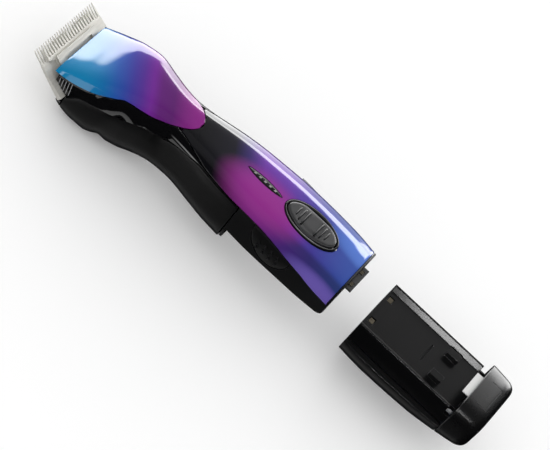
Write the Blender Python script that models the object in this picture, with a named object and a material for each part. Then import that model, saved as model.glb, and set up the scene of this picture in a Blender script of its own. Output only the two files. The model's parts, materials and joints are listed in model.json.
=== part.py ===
"""Electric pet clipper with a detachable toothed blade and a slide-in battery, as separate solids.

Drawing frame: millimetres, X along the handle from the tooth tips to the battery, Y across, Z up, with the blade
at the front. drawn() turns a drawing point into the model's metres, with the origin at the rest pad under the head.
The battery is drawn out of the handle by BATTERY_TRAVEL.
"""

import math

import bmesh
import bpy
from mathutils import Vector

MM = 0.001
REST_PAD = Vector((37.5, 0.0, -31.0))
GAP = 0.3
SEAT_GAP = 0.4
RUNNING_GAP = 0.08

# Handle: stations along X, each with the value there. Heights are above the tooth tips.
HALF_WIDTH = (
    (14, 21.8), (30, 21.8), (47, 21.2), (60, 17.8), (70, 15.5), (78, 14.6), (86, 15.3), (95, 16.7),
    (110, 19.4), (128, 21.4), (150, 22.6), (178, 22.3), (197, 21.0), (213.5, 19.6),
)
TOP = (
    (14, -1.6), (25, 5.4), (37, 12.0), (50, 15.6), (62, 16.8), (75, 17.4), (88, 18.1), (100, 19.1),
    (120, 19.9), (160, 19.9), (185, 18.7), (197, 17.3), (213.5, 16.4),
)
BOTTOM = (
    (19, -24.0), (26, -29.3), (34, -31.2), (41, -31.2), (46, -28.8), (50, -25.8), (55, -27.4), (60, -27.0),
    (67, -24.3), (75, -21.2), (85, -19.0), (95, -18.2), (106, -18.8), (120, -20.2), (131, -20.4),
    (131.4, -18.6), (150, -19.2), (173, -18.4), (194, -16.0), (203, -14.0), (213.5, -11.5),
)
WIDEST_HEIGHT = ((14, -5), (25, 0), (37, 5), (47, 7), (60, 6), (75, 4), (90, 2), (213.5, 1))
TOP_SQUARENESS = ((14, 4.0), (47, 4.5), (70, 4.0), (95, 4.5), (150, 5.0))
BOTTOM_SQUARENESS = ((14, 6.5), (75, 5.5), (95, 4.0), (131, 3.6))

# Seams of the outer skin. A seam is given by its height on the side, or by its half-width on the top.
CAP_EDGE_HEIGHT = (
    (14, -4.0), (20.6, -2.8), (26.5, -1.0), (33, 1.9), (38.6, 5.1), (43.5, 8.5), (47.5, 11.3), (52, 13.5),
    (60, 13.7),
)
CAP_EDGE_HALF_WIDTH = (
    (38.6, 21.6), (43.5, 21.3), (47.5, 20.7), (52, 18.7), (60, 16.7), (68, 14.6), (72, 13.3), (76.5, 11.8),
    (80, 10.2), (83, 8.5), (86, 5.9), (87.8, 3.2), (88.5, 0.6),
)
COVER_EDGE_HALF_WIDTH = ((80, 10.5), (83.5, 10.9), (90, 12.7), (95, 14.3), (103, 16.7))
COVER_EDGE_HEIGHT = (
    (83, 15.2), (88, 15.7), (95, 16.1), (98, 16.0), (103, 15.5), (122, 15.3), (135, 15.7), (144, 15.8),
    (154.6, 14.9), (166, 12.9), (175.4, 11.3), (185, 8.8), (196, 6.4),
)
GRIP_EDGE_HEIGHT = (
    (19, -19.5), (25.4, -16.3), (28.5, -12.3), (32, -7.9), (36.6, -5.8), (48.7, -1.4), (60, 1.4), (71, 4.7),
    (77, 6.3), (85.8, 10.3), (92.5, 12.0), (103.7, 14.6), (131, 14.8),
)
CAP_FRONT_X = 14.0
CAP_TIP_X = 88.5
CAP_SIDE_X = 42.0
CAP_TOP_X = 60.0
COVER_FRONT_X = 83.0
NECK_X = 90.0
COVER_SIDE_X = 103.0
COVER_REAR_X = 195.6
CHIN_FRONT_X = 21.8
GRIP_FRONT_X = 25.5
FRONT_BODY_REAR_X = 130.7
HEAD_STATIONS = (16.8, 20.6, 25.5, 28.5, 31, 34, 38.6, 43.5, 47.5, 51.9, 57, 63, 69, 75, 80)
NECK_STATIONS = (83, 87, 92, 97, 103, 110, 120)
GRIP_STATIONS = (28.5, 31, 34, 37.5, 41, 46, 50, 54, 60, 67, 75, 80, 87, 92, 97, 103, 110, 120)
BAY_STATIONS = (146, 155, 165, 175, 185, 192)
BAY_FRONT_X = 131.3
BAY_REAR_X = 197.0
COVER_WALL = 1.5
GRIP_WALL = 2.2
SHELL_WALL = 2.0

# Blade set: U runs rearward along the blade, V is square to it, from the tooth tips.
BLADE_SLOPE = math.radians(28)
COMB_WIDTH = 50.0
COMB_LENGTH = 29.0
COMB_TEETH = 27
CUTTER_WIDTH = 41.0
CUTTER_TEETH = 20
CUTTER_LIFT = 0.3
HINGE_PIN = (26.8, -18.8)
HINGE_PIN_RADIUS = 1.5

# Drive train
GEAR_TEETH = 24
PINION_TEETH = 8
GEAR_MODULE = 0.5
GEAR_HEIGHT = 6.0
CRANK_THROW = 1.2
SHAFT_SPACING = 8.15
MOTOR_HEIGHT = GEAR_HEIGHT - SHAFT_SPACING
MOTOR_FRONT_X = 92.0
MOTOR_RADIUS = 10.5
ARM_PIVOT_X = 42.0
ARM_THICKNESS = 2.6

# Controls
SWITCH_X = 163.2
SWITCH_HALF = (15.6, 5.0)
BEZEL_HALF = (17.4, 9.6)
SWITCH_PIVOT_HEIGHT = 17.0
LENS_X = 131.2
LENS_HALF = (11.3, 1.8)
BUTTON_START_X = 143.0
BUTTON_END_X = 169.3
BUTTON_LOWER_EDGE = (
    (143.3, 11.0), (146, 5.8), (149, 3.0), (152.5, 0.6), (157, -0.7), (161.5, 0.1), (165.5, 2.8), (168.3, 6.8),
)

# Battery
BATTERY_TRAVEL = 82.0
TRAY_HALF_WIDTH = 18.4
BATTERY_FRONT_X = 132.9
BATTERY_WALL = 2.0
TRAY_TOP = 8.0
RAIL_TOP = 10.4
SEAM_HEIGHT = -3.2
CELL_RADIUS = 8.0
CELL_FRONT_X = 135.4
CELL_LENGTH = 63.0
BATTERY_REAR_X = 213.5

PALETTE = {
    "cap_violet": ((0.20, 0.10, 0.55), 0.15, 0.3),
    "cover_violet": ((0.32, 0.08, 0.48), 0.15, 0.3),
    "gloss_black": ((0.012, 0.012, 0.014), 0.12, 0.0),
    "soft_black": ((0.02, 0.02, 0.021), 0.55, 0.0),
    "satin_black": ((0.018, 0.018, 0.02), 0.35, 0.0),
    "switch_grey": ((0.07, 0.07, 0.072), 0.35, 0.0),
    "blade_steel": ((0.62, 0.60, 0.55), 0.28, 1.0),
    "bright_steel": ((0.72, 0.72, 0.73), 0.2, 1.0),
    "brass": ((0.72, 0.52, 0.22), 0.3, 1.0),
    "copper": ((0.72, 0.38, 0.22), 0.35, 1.0),
    "white_plastic": ((0.85, 0.85, 0.84), 0.3, 0.0),
    "nylon": ((0.75, 0.73, 0.66), 0.5, 0.0),
    "board_green": ((0.03, 0.22, 0.10), 0.45, 0.0),
    "smoke": ((0.015, 0.015, 0.018), 0.08, 0.0),
    "cell_wrap": ((0.05, 0.20, 0.45), 0.35, 0.0),
    "magnet_grey": ((0.12, 0.12, 0.13), 0.5, 0.6),
}


def clear_scene():
    for old in list(bpy.data.objects):
        bpy.data.objects.remove(old)


def material(key):
    found = bpy.data.materials.get(key)
    if found:
        return found
    colour, roughness, metallic = PALETTE[key]
    made = bpy.data.materials.new(key)
    made.use_nodes = True
    surface = made.node_tree.nodes["Principled BSDF"]
    surface.inputs["Base Color"].default_value = (*colour, 1.0)
    surface.inputs["Roughness"].default_value = roughness
    surface.inputs["Metallic"].default_value = metallic
    return made


# ---------------------------------------------------------------- geometry helpers


def drawn(point):
    return (Vector(point) - REST_PAD) * MM


def solid(name, points, faces, key, pivot=None, smooth=True):
    """A closed mesh from drawing points. A moving piece has its origin on its joint's axis, at pivot."""
    origin = drawn(pivot) if pivot else Vector((0.0, 0.0, 0.0))
    bm = bmesh.new()
    verts = [bm.verts.new(drawn(p) - origin) for p in points]
    for face in faces:
        bm.faces.new([verts[i] for i in face])
    bmesh.ops.remove_doubles(bm, verts=bm.verts, dist=1e-6)
    bmesh.ops.recalc_face_normals(bm, faces=bm.faces)
    mesh = bpy.data.meshes.new(name)
    bm.to_mesh(mesh)
    bm.free()
    if smooth:
        mesh.shade_smooth()
        mesh.set_sharp_from_angle(angle=math.radians(35))
    mesh.materials.append(material(key))
    obj = bpy.data.objects.new(name, mesh)
    obj.location = origin
    bpy.context.scene.collection.objects.link(obj)
    return obj


def loft(name, rings, key, pivot=None):
    """Joins rings of equal length into a skin and closes it with a face at each end."""
    count = len(rings[0])
    points = [p for ring in rings for p in ring]
    faces = [tuple(range(count))]
    faces.append(tuple(range((len(rings) - 1) * count, len(rings) * count)))
    for r in range(len(rings) - 1):
        for i in range(count):
            j = (i + 1) % count
            faces.append((r * count + i, r * count + j, (r + 1) * count + j, (r + 1) * count + i))
    return solid(name, points, faces, key, pivot)


def along_x(outline, x0, x1):
    return [[(x, y, z) for y, z in outline] for x in (x0, x1)]


def along_y(outline, y0, y1):
    return [[(x, y, z) for x, z in outline] for y in (y0, y1)]


def along_z(outline, z0, z1):
    return [[(x, y, z) for x, y in outline] for z in (z0, z1)]


def box(name, x, y, z, key, pivot=None):
    outline = [(x[0], y[0]), (x[1], y[0]), (x[1], y[1]), (x[0], y[1])]
    return loft(name, along_z(outline, z[0], z[1]), key, pivot)


def circle(centre, radius, count, start=0.0):
    steps = [start + 2 * math.pi * i / count for i in range(count)]
    return [(centre[0] + radius * math.cos(a), centre[1] + radius * math.sin(a)) for a in steps]


def ellipse(centre, half, count):
    steps = [2 * math.pi * i / count for i in range(count)]
    return [(centre[0] + half[0] * math.cos(a), centre[1] + half[1] * math.sin(a)) for a in steps]


def leaf(centre, half, count):
    """A pointed oval: two arcs that meet at the ends."""
    upper = [math.pi * i / count for i in range(count)]
    rim = [(math.cos(a), math.sin(a) ** 1.25) for a in upper]
    rim += [(-x, -y) for x, y in rim]
    return [(centre[0] + half[0] * x, centre[1] + half[1] * y) for x, y in rim]


def rod_x(name, x0, x1, y, z, radius, key, count=20, pivot=None):
    return loft(name, along_x(circle((y, z), radius, count), x0, x1), key, pivot)


def rod_y(name, y0, y1, x, z, radius, key, count=20, pivot=None):
    return loft(name, along_y(circle((x, z), radius, count), y0, y1), key, pivot)


def rod_z(name, z0, z1, x, y, radius, key, count=20, pivot=None):
    return loft(name, along_z(circle((x, y), radius, count), z0, z1), key, pivot)


def boolean(target, tool, operation):
    step = target.modifiers.new(f"{operation.lower()}_{tool.name}", "BOOLEAN")
    step.operation = operation
    step.solver = "EXACT"
    step.object = tool
    tool.hide_render = True
    tool.display_type = "WIRE"


def cut(target, *tools):
    for tool in tools:
        boolean(target, tool, "DIFFERENCE")
    return target


def join(target, *tools):
    for tool in tools:
        boolean(target, tool, "UNION")
    return target


# ---------------------------------------------------------------- the handle's skin


def smooth(x, stations):
    """A monotone cubic curve through (x, value) stations."""
    if x <= stations[0][0]:
        return stations[0][1]
    if x >= stations[-1][0]:
        return stations[-1][1]
    slopes = [(b[1] - a[1]) / (b[0] - a[0]) for a, b in zip(stations, stations[1:])]

    def tangent(i):
        if i == 0:
            return slopes[0]
        if i == len(stations) - 1:
            return slopes[-1]
        before, after = slopes[i - 1], slopes[i]
        return 0.0 if before * after <= 0 else 2 * before * after / (before + after)

    i = next(k for k in range(len(slopes)) if x <= stations[k + 1][0])
    (x0, y0), (x1, y1) = stations[i], stations[i + 1]
    h = x1 - x0
    s = (x - x0) / h
    start = (1 + 2 * s) * (1 - s) ** 2 * y0 + s * (1 - s) ** 2 * h * tangent(i)
    end = s * s * (3 - 2 * s) * y1 + s * s * (s - 1) * h * tangent(i + 1)
    return start + end


def skin(x, angle, inset=0.0):
    """The section at x: a squared oval. Angle 0 is the top centre, 90 a side, 180 the bottom, left negative."""
    a = math.radians(angle)
    middle = smooth(x, WIDEST_HEIGHT)
    width = smooth(x, HALF_WIDTH) - inset
    side, up = math.sin(a), math.cos(a)
    if up >= 0:
        height, power = smooth(x, TOP) - middle, smooth(x, TOP_SQUARENESS)
    else:
        height, power = middle - smooth(x, BOTTOM), smooth(x, BOTTOM_SQUARENESS)
    height = max(height - inset, 0.5)
    y = math.copysign(width * abs(side) ** (2 / power), side)
    return (x, y, middle + math.copysign(height * abs(up) ** (2 / power), up))


def height_angle(x, height, inset=0.0):
    """The angle at which the skin at x passes this height."""
    middle = smooth(x, WIDEST_HEIGHT)
    if height >= middle:
        reach, power = smooth(x, TOP) - middle - inset, smooth(x, TOP_SQUARENESS)
        return math.degrees(math.acos(min(1.0, (height - middle) / reach) ** (power / 2)))
    reach, power = middle - smooth(x, BOTTOM) - inset, smooth(x, BOTTOM_SQUARENESS)
    return 180 - math.degrees(math.acos(min(1.0, (middle - height) / reach) ** (power / 2)))


def width_angle(x, half_width):
    """The angle at which the top of the skin at x reaches this half-width."""
    share = min(1.0, half_width / smooth(x, HALF_WIDTH))
    return math.degrees(math.asin(share ** (smooth(x, TOP_SQUARENESS) / 2)))


def cap_edge(x, shift=0.0, inset=0.0):
    """Angle of the drive cap's edge, low on the side at the front; shift moves the edge outward."""
    on_top = width_angle(x, smooth(x, CAP_EDGE_HALF_WIDTH) + shift)
    on_side = height_angle(x, smooth(x, CAP_EDGE_HEIGHT) - shift, inset)
    share = min(1.0, max(0.0, (CAP_TOP_X - x) / (CAP_TOP_X - CAP_SIDE_X)))
    return on_top + (on_side - on_top) * share


def cover_edge(x, shift=0.0, inset=0.0):
    """The cover's edge runs along the top at the neck and changes gradually to a line along the side."""
    on_top = width_angle(x, smooth(x, COVER_EDGE_HALF_WIDTH) + shift)
    on_side = height_angle(x, smooth(x, COVER_EDGE_HEIGHT) - shift, inset)
    share = min(1.0, max(0.0, (x - NECK_X) / (COVER_SIDE_X - NECK_X)))
    return on_top + (on_side - on_top) * share


def top_edge(x, shift=0.0, inset=0.0):
    """The edge of whichever violet piece lies on the housing at x."""
    return cap_edge(x, shift, inset) if x < COVER_FRONT_X - 2 else cover_edge(x, shift, inset)


def grip_edge(x, shift=0.0, inset=0.0):
    return height_angle(x, smooth(x, GRIP_EDGE_HEIGHT) - shift, inset)


def arc(x, start, end, inset, count):
    return [skin(x, start + (end - start) * i / (count - 1), inset) for i in range(count)]


def blade(u, v):
    """The X and Z of a point given along and square to the blade."""
    return (
        u * math.cos(BLADE_SLOPE) + v * math.sin(BLADE_SLOPE),
        -u * math.sin(BLADE_SLOPE) + v * math.cos(BLADE_SLOPE),
    )


def blade_prism(name, outline, y0, y1, key, pivot=None):
    """An outline in U and V, extruded across the clipper."""
    return loft(name, along_y([blade(u, v) for u, v in outline], y0, y1), key, pivot)


def blade_block(name, u, y, v, key, pivot=None):
    outline = [(u[0], v[0]), (u[1], v[0]), (u[1], v[1]), (u[0], v[1])]
    return blade_prism(name, outline, y[0], y[1], key, pivot)


def blade_plate(name, outline, low, high, key, pivot=None):
    """An outline in U and Y, between two surfaces whose V may change along U."""
    rings = []
    for level in (low, high):
        ring = []
        for u, y in outline:
            x, z = blade(u, level(u))
            ring.append((x, y, z))
        rings.append(ring)
    return loft(name, rings, key, pivot)


def blade_rod(name, u, y, v0, v1, radius, key, count=16, pivot=None):
    outline = circle((u, y), radius, count)
    return blade_plate(name, outline, lambda _: v0, lambda _: v1, key, pivot)


# ---------------------------------------------------------------- shells


def drive_cap():
    rings = []
    for x in (CAP_FRONT_X, *HEAD_STATIONS, 83, 85.5, 87.2, 88.2):
        edge = cap_edge(x, -GAP / 2)
        under = cap_edge(x, -GAP / 2, COVER_WALL)
        rings.append(arc(x, -edge, edge, 0, 15) + arc(x, under, -under, COVER_WALL, 15))
    return loft("drive_cap", rings, "cap_violet")


def cap_tip_tool(clearance):
    """The drive cap's rear outline as a prism, a clearance larger."""
    stations = (70, 74, 78, 81, 83.5, 85.5, 87.2, CAP_TIP_X)
    right = [(x, smooth(x, CAP_EDGE_HALF_WIDTH) + clearance) for x in stations]
    outline = right + [(CAP_TIP_X + clearance, 0.0)] + [(x, -y) for x, y in reversed(right)]
    return loft("tool_cap_tip", along_z(outline, 5, 30), "gloss_black")


def handle_cover():
    stations = (*NECK_STATIONS, FRONT_BODY_REAR_X, 138, *BAY_STATIONS, COVER_REAR_X)
    rings = []
    for x in stations:
        edge = cover_edge(x, -GAP / 2)
        under = cover_edge(x, -GAP / 2, COVER_WALL)
        rings.append(arc(x, -edge, edge, 0, 17) + arc(x, under, -under, COVER_WALL, 17))
    cover = loft("handle_cover", rings, "cover_violet")
    bezel_hole = loft(
        "tool_bezel_hole",
        along_z(ellipse((SWITCH_X, 0), (BEZEL_HALF[0] + GAP, BEZEL_HALF[1] + GAP), 32), 10, 30),
        "gloss_black",
    )
    lens_hole = loft(
        "tool_lens_hole",
        along_z(leaf((LENS_X, 0), (LENS_HALF[0] + 2 * GAP, LENS_HALF[1] + GAP), 10), 10, 30),
        "gloss_black",
    )
    return cut(cover, cap_tip_tool(GAP), bezel_hole, lens_hole)


def blade_pocket_tool(name):
    """The space in front of the head that the blade set needs, closed and folded down."""
    outline = [blade(-12, 0.45), blade(29.6, 0.45), (25.7, -16.9), (23.5, -20.0), (23.0, -21.5), (-12, -22.5)]
    return loft(name, along_y(outline, -32, 32), "gloss_black")


def upper_housing():
    """Gloss side panels, stepped down under the cap and the handle cover."""
    step = COVER_WALL + SEAT_GAP
    wall = step + SHELL_WALL
    rings = []
    for x in (*HEAD_STATIONS, *NECK_STATIONS, FRONT_BODY_REAR_X):
        relief = 1.5 * GAP if x > COVER_FRONT_X else GAP / 2
        edge, seat = top_edge(x, GAP / 2), top_edge(x, relief, step)
        low, inner = grip_edge(x, -GAP / 2), grip_edge(x, -GAP / 2, wall)
        outer = arc(x, -low, -edge, 0, 4) + arc(x, -seat, seat, step, 9) + arc(x, edge, low, 0, 4)
        rings.append(outer + arc(x, inner, -inner, wall, 13))
    shell = loft("upper_housing", rings, "gloss_black")
    opening = [(8, -14.6), (46, -14.6), (66.1, -9.6), (66.1, 9.6), (46, 14.6), (8, 14.6)]
    drive_window = loft("tool_drive_window", along_z(opening, -7.3, 30), "gloss_black")
    lamp_window = box("tool_lamp_window", (117, 132), (-3.2, 3.2), (12, 30), "gloss_black")
    return cut(shell, blade_pocket_tool("tool_pocket_upper"), drive_window, lamp_window)


def lower_housing():
    """Structural tub under the grip, with a gloss chin that shows at the front."""
    step = GRIP_WALL + GAP
    wall = step + SHELL_WALL
    rings = []
    for x in (CHIN_FRONT_X, 25.0, 25.2, *GRIP_STATIONS, FRONT_BODY_REAR_X):
        inset = 0.0 if x <= 25.1 else step
        edge, inner = grip_edge(x, GAP / 2, inset), grip_edge(x, GAP / 2, wall)
        rings.append(arc(x, edge, 360 - edge, inset, 17) + arc(x, 360 - inner, inner, wall, 17))
    tub = loft("lower_housing", rings, "gloss_black")
    seat = box("tool_hinge_seat", (28.6, 38), (-13, 13), (-27, -25.2), "gloss_black")
    return cut(join(tub, seat), blade_pocket_tool("tool_pocket_lower"))


def finger_rest_outline(offset):
    half = [(29, 9.0), (34, 12.5), (42, 14.0), (52, 13.6), (62, 12.0), (70, 9.0)]
    right = [(x, y + offset) for x, y in half]
    front, rear = (27.5 - offset, 0.0), (74.0 + offset, 0.0)
    return [front] + right + [rear] + [(x, -y) for x, y in reversed(right)]


def grip_band(name, key):
    rings = []
    for x in (GRIP_FRONT_X, *GRIP_STATIONS, FRONT_BODY_REAR_X):
        edge, inner = grip_edge(x, GAP / 2), grip_edge(x, GAP / 2, GRIP_WALL)
        rings.append(arc(x, edge, 360 - edge, 0, 20) + arc(x, 360 - inner, inner, GRIP_WALL, 20))
    return loft(name, rings, key)


def soft_grip():
    band = grip_band("soft_grip", "soft_black")
    pad_tool = loft("tool_pad_hole", along_z(finger_rest_outline(GAP), -40, -16), "soft_black")
    return cut(band, blade_pocket_tool("tool_pocket_grip"), pad_tool)


def finger_rest():
    """Underside pad of the grip, with the flat on which the head rests."""
    pad = grip_band("finger_rest", "soft_black")
    keep = loft("tool_pad_keep", along_z(finger_rest_outline(0.0), -40, -15), "soft_black")
    boolean(pad, keep, "INTERSECT")
    flat = box("tool_rest_flat", (20, 60), (-20, 20), (-40, REST_PAD.z), "soft_black")
    return cut(pad, flat)


def channel_outline(grow):
    """Section of the battery's upper part: a flat tray between two raised rails."""
    half = TRAY_HALF_WIDTH
    right = [
        (half + grow, -5.0),
        (half + grow, 8.6 + grow),
        (half - 1.2, RAIL_TOP + grow),
        (half - 2.4 - grow, RAIL_TOP + grow),
        (half - 3.2 - grow, TRAY_TOP + grow),
    ]
    return right + [(-y, z) for y, z in reversed(right)]


def battery_bay():
    """Rear frame: an upside-down channel that the battery slides into, with a pocket for the board above it."""
    rings = []
    for x in (BAY_FRONT_X, 138, *BAY_STATIONS, 195.8, 195.9, BAY_REAR_X):
        step = COVER_WALL + GAP if x < 195.85 else 0.05
        edge, seat = cover_edge(x, GAP / 2), cover_edge(x, GAP / 2, step)
        low = height_angle(x, SEAM_HEIGHT)
        rings.append(arc(x, -low, -edge, 0, 6) + arc(x, -seat, seat, step, 11) + arc(x, edge, low, 0, 6))
    bay = loft("battery_bay", rings, "satin_black")
    bulkhead = []
    for x in (BAY_FRONT_X, BATTERY_FRONT_X - 0.4):
        low = height_angle(x, SEAM_HEIGHT + 3)
        bulkhead.append(arc(x, low, 360 - low, 0.05, 24))
    join(bay, loft("tool_bulkhead", bulkhead, "satin_black"))
    channel = loft("tool_channel", along_x(channel_outline(GAP), BATTERY_FRONT_X - 0.4, 198.0), "satin_black")
    board_pocket = box("tool_board_pocket", (133.5, 190.5), (-13.9, 13.9), (10.0, 30), "satin_black")
    lamp_pocket = box("tool_lamp_pocket", (130, 134), (-3.4, 3.4), (13.9, 30), "satin_black")
    contact_opening = box("tool_contact_opening", (190, 199), (-9.2, 9.2), (11.6, 15.5), "satin_black")
    cut(bay, channel, board_pocket, lamp_pocket, contact_opening)
    for side in (-1, 1):
        groove_y = sorted((side * 6.0, side * 11.0))
        cut(bay, box(f"tool_peg_groove{side}", (173.5, 199), groove_y, (5, 11.9), "satin_black"))
        cut(bay, button_tool(side, button_outline(GAP, GAP, 1.0), 19.0, 26.0, "window"))
        cut(bay, button_tool(side, button_outline(1.2 + GAP, 1.0 + GAP, 1.0), 17.5, 20.95, "seat"))
    return bay


def button_outline(along, below, above):
    """The release button hangs from the cover's edge like a lens; it may be grown along, below and above."""
    middle = (BUTTON_START_X + BUTTON_END_X) / 2
    half = (BUTTON_END_X - BUTTON_START_X) / 2
    upper = []
    for i in range(9):
        x = BUTTON_END_X - 2 * half * i / 8
        upper.append((middle + (x - middle) * (half + along) / half, smooth(x, COVER_EDGE_HEIGHT) - GAP + above))
    lower = []
    for x, z in BUTTON_LOWER_EDGE:
        lower.append((middle + (x - middle) * (half + along) / half, z - below))
    return upper + lower


def button_tool(side, outline, near, far, label):
    return loft(f"tool_button_{label}{side}", along_y(outline, side * near, side * far), "satin_black")


def release_button(name, side):
    """Button in the side of the bay, with a lip behind the wall that keeps it in."""
    pivot = (156.0, side * 21.0, 7.0)
    face = loft(name, along_y(button_outline(0, 0, 0), side * 19.9, side * 22.5), "soft_black", pivot)
    lip_outline = button_outline(1.2, 1.0, 0)
    lip = loft(f"tool_lip{side}", along_y(lip_outline, side * 19.9, side * 20.65), "soft_black", pivot)
    ribs = []
    for i in range(3):
        x = 151.5 + 4.5 * i
        rib_y = sorted((side * 22.4, side * 22.9))
        ribs.append(box(f"tool_rib{side}{i}", (x - 0.5, x + 0.5), rib_y, (3.5, 10.0), "soft_black", pivot))
    return join(face, lip, *ribs)


# ---------------------------------------------------------------- blade set


def toothed_outline(width, teeth, tip_u, root_u, rear_u, fill, shoulder=None):
    """Outline in U and Y with equal teeth at the front. fill is each tooth's share of its pitch at the root."""
    pitch = width / teeth
    outline = []
    for i in range(teeth):
        centre = -width / 2 + (i + 0.5) * pitch
        root, tip = fill * pitch / 2, 0.28 * pitch
        outline.append((root_u, centre - root))
        outline.append((tip_u, centre - tip))
        outline.append((tip_u, centre + tip))
        outline.append((root_u, centre + root))
    edge = width / 2
    back = shoulder if shoulder else edge
    outline += [(root_u + 1.5, edge), (root_u + 3.0, back), (rear_u, back)]
    outline += [(rear_u, -back), (root_u + 3.0, -back), (root_u + 1.5, -edge)]
    return outline


def comb_blade():
    outline = toothed_outline(COMB_WIDTH, COMB_TEETH, 0.0, 8.5, COMB_LENGTH, 0.62)
    hinge = (HINGE_PIN[0], 0.0, HINGE_PIN[1])
    comb = blade_plate("comb_blade", outline, lambda u: -0.4 - 0.1 * u, lambda _: 0.0, "blade_steel", hinge)
    for side in (-1, 1):
        cut(comb, blade_rod(f"tool_comb_hole{side}", 25.2, side * 13.5, -1.9, 1, 1.4, "blade_steel"))
    return comb


def cutter_blade():
    outline = toothed_outline(CUTTER_WIDTH, CUTTER_TEETH, 1.4, 7.5, 20.5, 0.55, shoulder=16.0)
    middle = (blade(12, 1)[0], 0.0, blade(12, 1)[1])
    cutter = blade_plate(
        "cutter_blade", outline, lambda _: CUTTER_LIFT, lambda u: 0.9 + 0.06 * u, "blade_steel", middle
    )
    bridge = blade_block("tool_bridge", (15.5, 20.4), (-5.5, 5.5), (1.2, 4.4), "blade_steel")
    slot = blade_block("tool_bridge_slot", (15.0, 21.0), (-2.35, 2.35), (2.4, 6.0), "blade_steel")
    return cut(join(cutter, bridge), slot)


def blade_socket():
    """Riveted plate at the comb's rear, with two lips that the hinge tongue slides under."""
    hinge = (HINGE_PIN[0], 0.0, HINGE_PIN[1])
    base = blade_block("blade_socket", (22.2, 28.6), (-16, 16), (GAP, 2.0), "bright_steel", hinge)
    for side in (-1, 1):
        lip = sorted((side * 7.8, side * 10.2))
        top = sorted((side * 6.0, side * 10.2))
        join(base, blade_block(f"tool_lip_wall{side}", (22.2, 28.6), lip, (1.5, 4.9), "bright_steel"))
        join(base, blade_block(f"tool_lip_top{side}", (22.2, 28.6), top, (4.0, 4.9), "bright_steel"))
        cut(base, blade_rod(f"tool_socket_hole{side}", 25.2, side * 13.5, -1, 3, 1.4, "bright_steel"))
    return base


def tension_spring():
    """U-shaped leaf that presses the cutter on the comb: a bar across the cutter and two arms to the screws."""
    hinge = (HINGE_PIN[0], 0.0, HINGE_PIN[1])
    outline = [(9.0, -16), (27.6, -16), (27.6, -11.2), (12.0, -11.2), (12.0, 11.2), (27.6, 11.2), (27.6, 16), (9.0, 16)]
    spring = blade_plate("tension_spring", outline, lambda _: 2.4, lambda _: 3.1, "bright_steel", hinge)
    for side in (-1, 1):
        cut(spring, blade_rod(f"tool_spring_hole{side}", 25.2, side * 13.5, 1, 5, 1.4, "bright_steel"))
    return spring


def blade_screw(name, side):
    hinge = (HINGE_PIN[0], 0.0, HINGE_PIN[1])
    shank = blade_rod(name, 25.2, side * 13.5, -1.5, 3.6, 1.0, "bright_steel", 12, hinge)
    head = blade_rod(f"tool_{name}", 25.2, side * 13.5, 3.4, 4.8, 2.3, "bright_steel", 16)
    slot = blade_block(f"tool_slot_{name}", (22, 28), sorted((side * 13.2, side * 13.8)), (4.2, 6), "bright_steel")
    return cut(join(shank, head), slot)


def hinge_tongue():
    """Steel tongue that carries the blade and wraps down behind the comb to the hinge pin."""
    hinge = (HINGE_PIN[0], 0.0, HINGE_PIN[1])
    knuckle = (32.5, -4.0)
    turn = [math.radians(165 + 255 * i / 12) for i in range(13)]
    outline = [(22.8, 2.3), (29.6, 2.3), (29.6, -3.0)]
    outline += [(knuckle[0] + 2.4 * math.cos(a), knuckle[1] + 2.4 * math.sin(a)) for a in turn]
    outline += [(31.4, -0.4), (31.4, 3.7), (22.8, 3.7)]
    tongue = blade_prism("hinge_tongue", outline, -7.4, 7.4, "bright_steel", hinge)
    bore_radius = HINGE_PIN_RADIUS + RUNNING_GAP
    bore = rod_y("tool_tongue_bore", -9, 9, HINGE_PIN[0], HINGE_PIN[1], bore_radius, "bright_steel", 24)
    return cut(tongue, bore)


def hinge_bracket():
    """Folded steel bracket on the head's floor: a base and two ears with the pin holes."""
    bracket = box("hinge_bracket", (27.8, 37.6), (-12, 12), (-24.9, -23.8), "bright_steel")
    x, z = HINGE_PIN
    top = [math.radians(180 * i / 10) for i in range(11)]
    ear = [(x + 1.2, -24.6), (x + 6.5, -24.6)] + [(x + 3.2 * math.cos(a), z + 3.2 * math.sin(a)) for a in top]
    for side in (-1, 1):
        join(bracket, loft(f"tool_ear{side}", along_y(ear, side * 7.8, side * 9.2), "bright_steel"))
        cut(bracket, rod_z(f"tool_bracket_hole{side}", -27, -22, 33.5, side * 5, 1.3, "bright_steel", 12))
    pin_hole = rod_y("tool_ear_holes", -12, 12, x, z, HINGE_PIN_RADIUS + RUNNING_GAP, "bright_steel", 24)
    return cut(bracket, pin_hole)


def hinge_pin():
    return rod_y("hinge_pin", -10.2, 10.2, HINGE_PIN[0], HINGE_PIN[1], HINGE_PIN_RADIUS, "bright_steel", 24)


def hinge_screw(name, side):
    shank = rod_z(name, -25.1, -23.2, 33.5, side * 5, 1.0, "bright_steel", 12)
    head = rod_z(f"tool_{name}", -23.5, -22.3, 33.5, side * 5, 2.1, "bright_steel", 16)
    return join(shank, head)


def blade_latch():
    """Thin steel plate under the chin with a thumb tab in front. It pulls forward to free the tongue."""
    under = [(x, smooth(x, BOTTOM) - GAP) for x in (21.4, 22.8, 24.4, 26.2)]
    outline = under + [(x, z - 0.9) for x, z in reversed(under)]
    pivot = (24.5, 0.0, -29.0)
    plate = loft("blade_latch", along_y(outline, -13, 13), "bright_steel", pivot)
    tab = [(20.3, -22.4), (21.4, -22.4), (21.4, -26.9), (20.3, -26.2)]
    return join(plate, loft("tool_latch_tab", along_y(tab, -9, 9), "bright_steel"))


# ---------------------------------------------------------------- drive train


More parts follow.
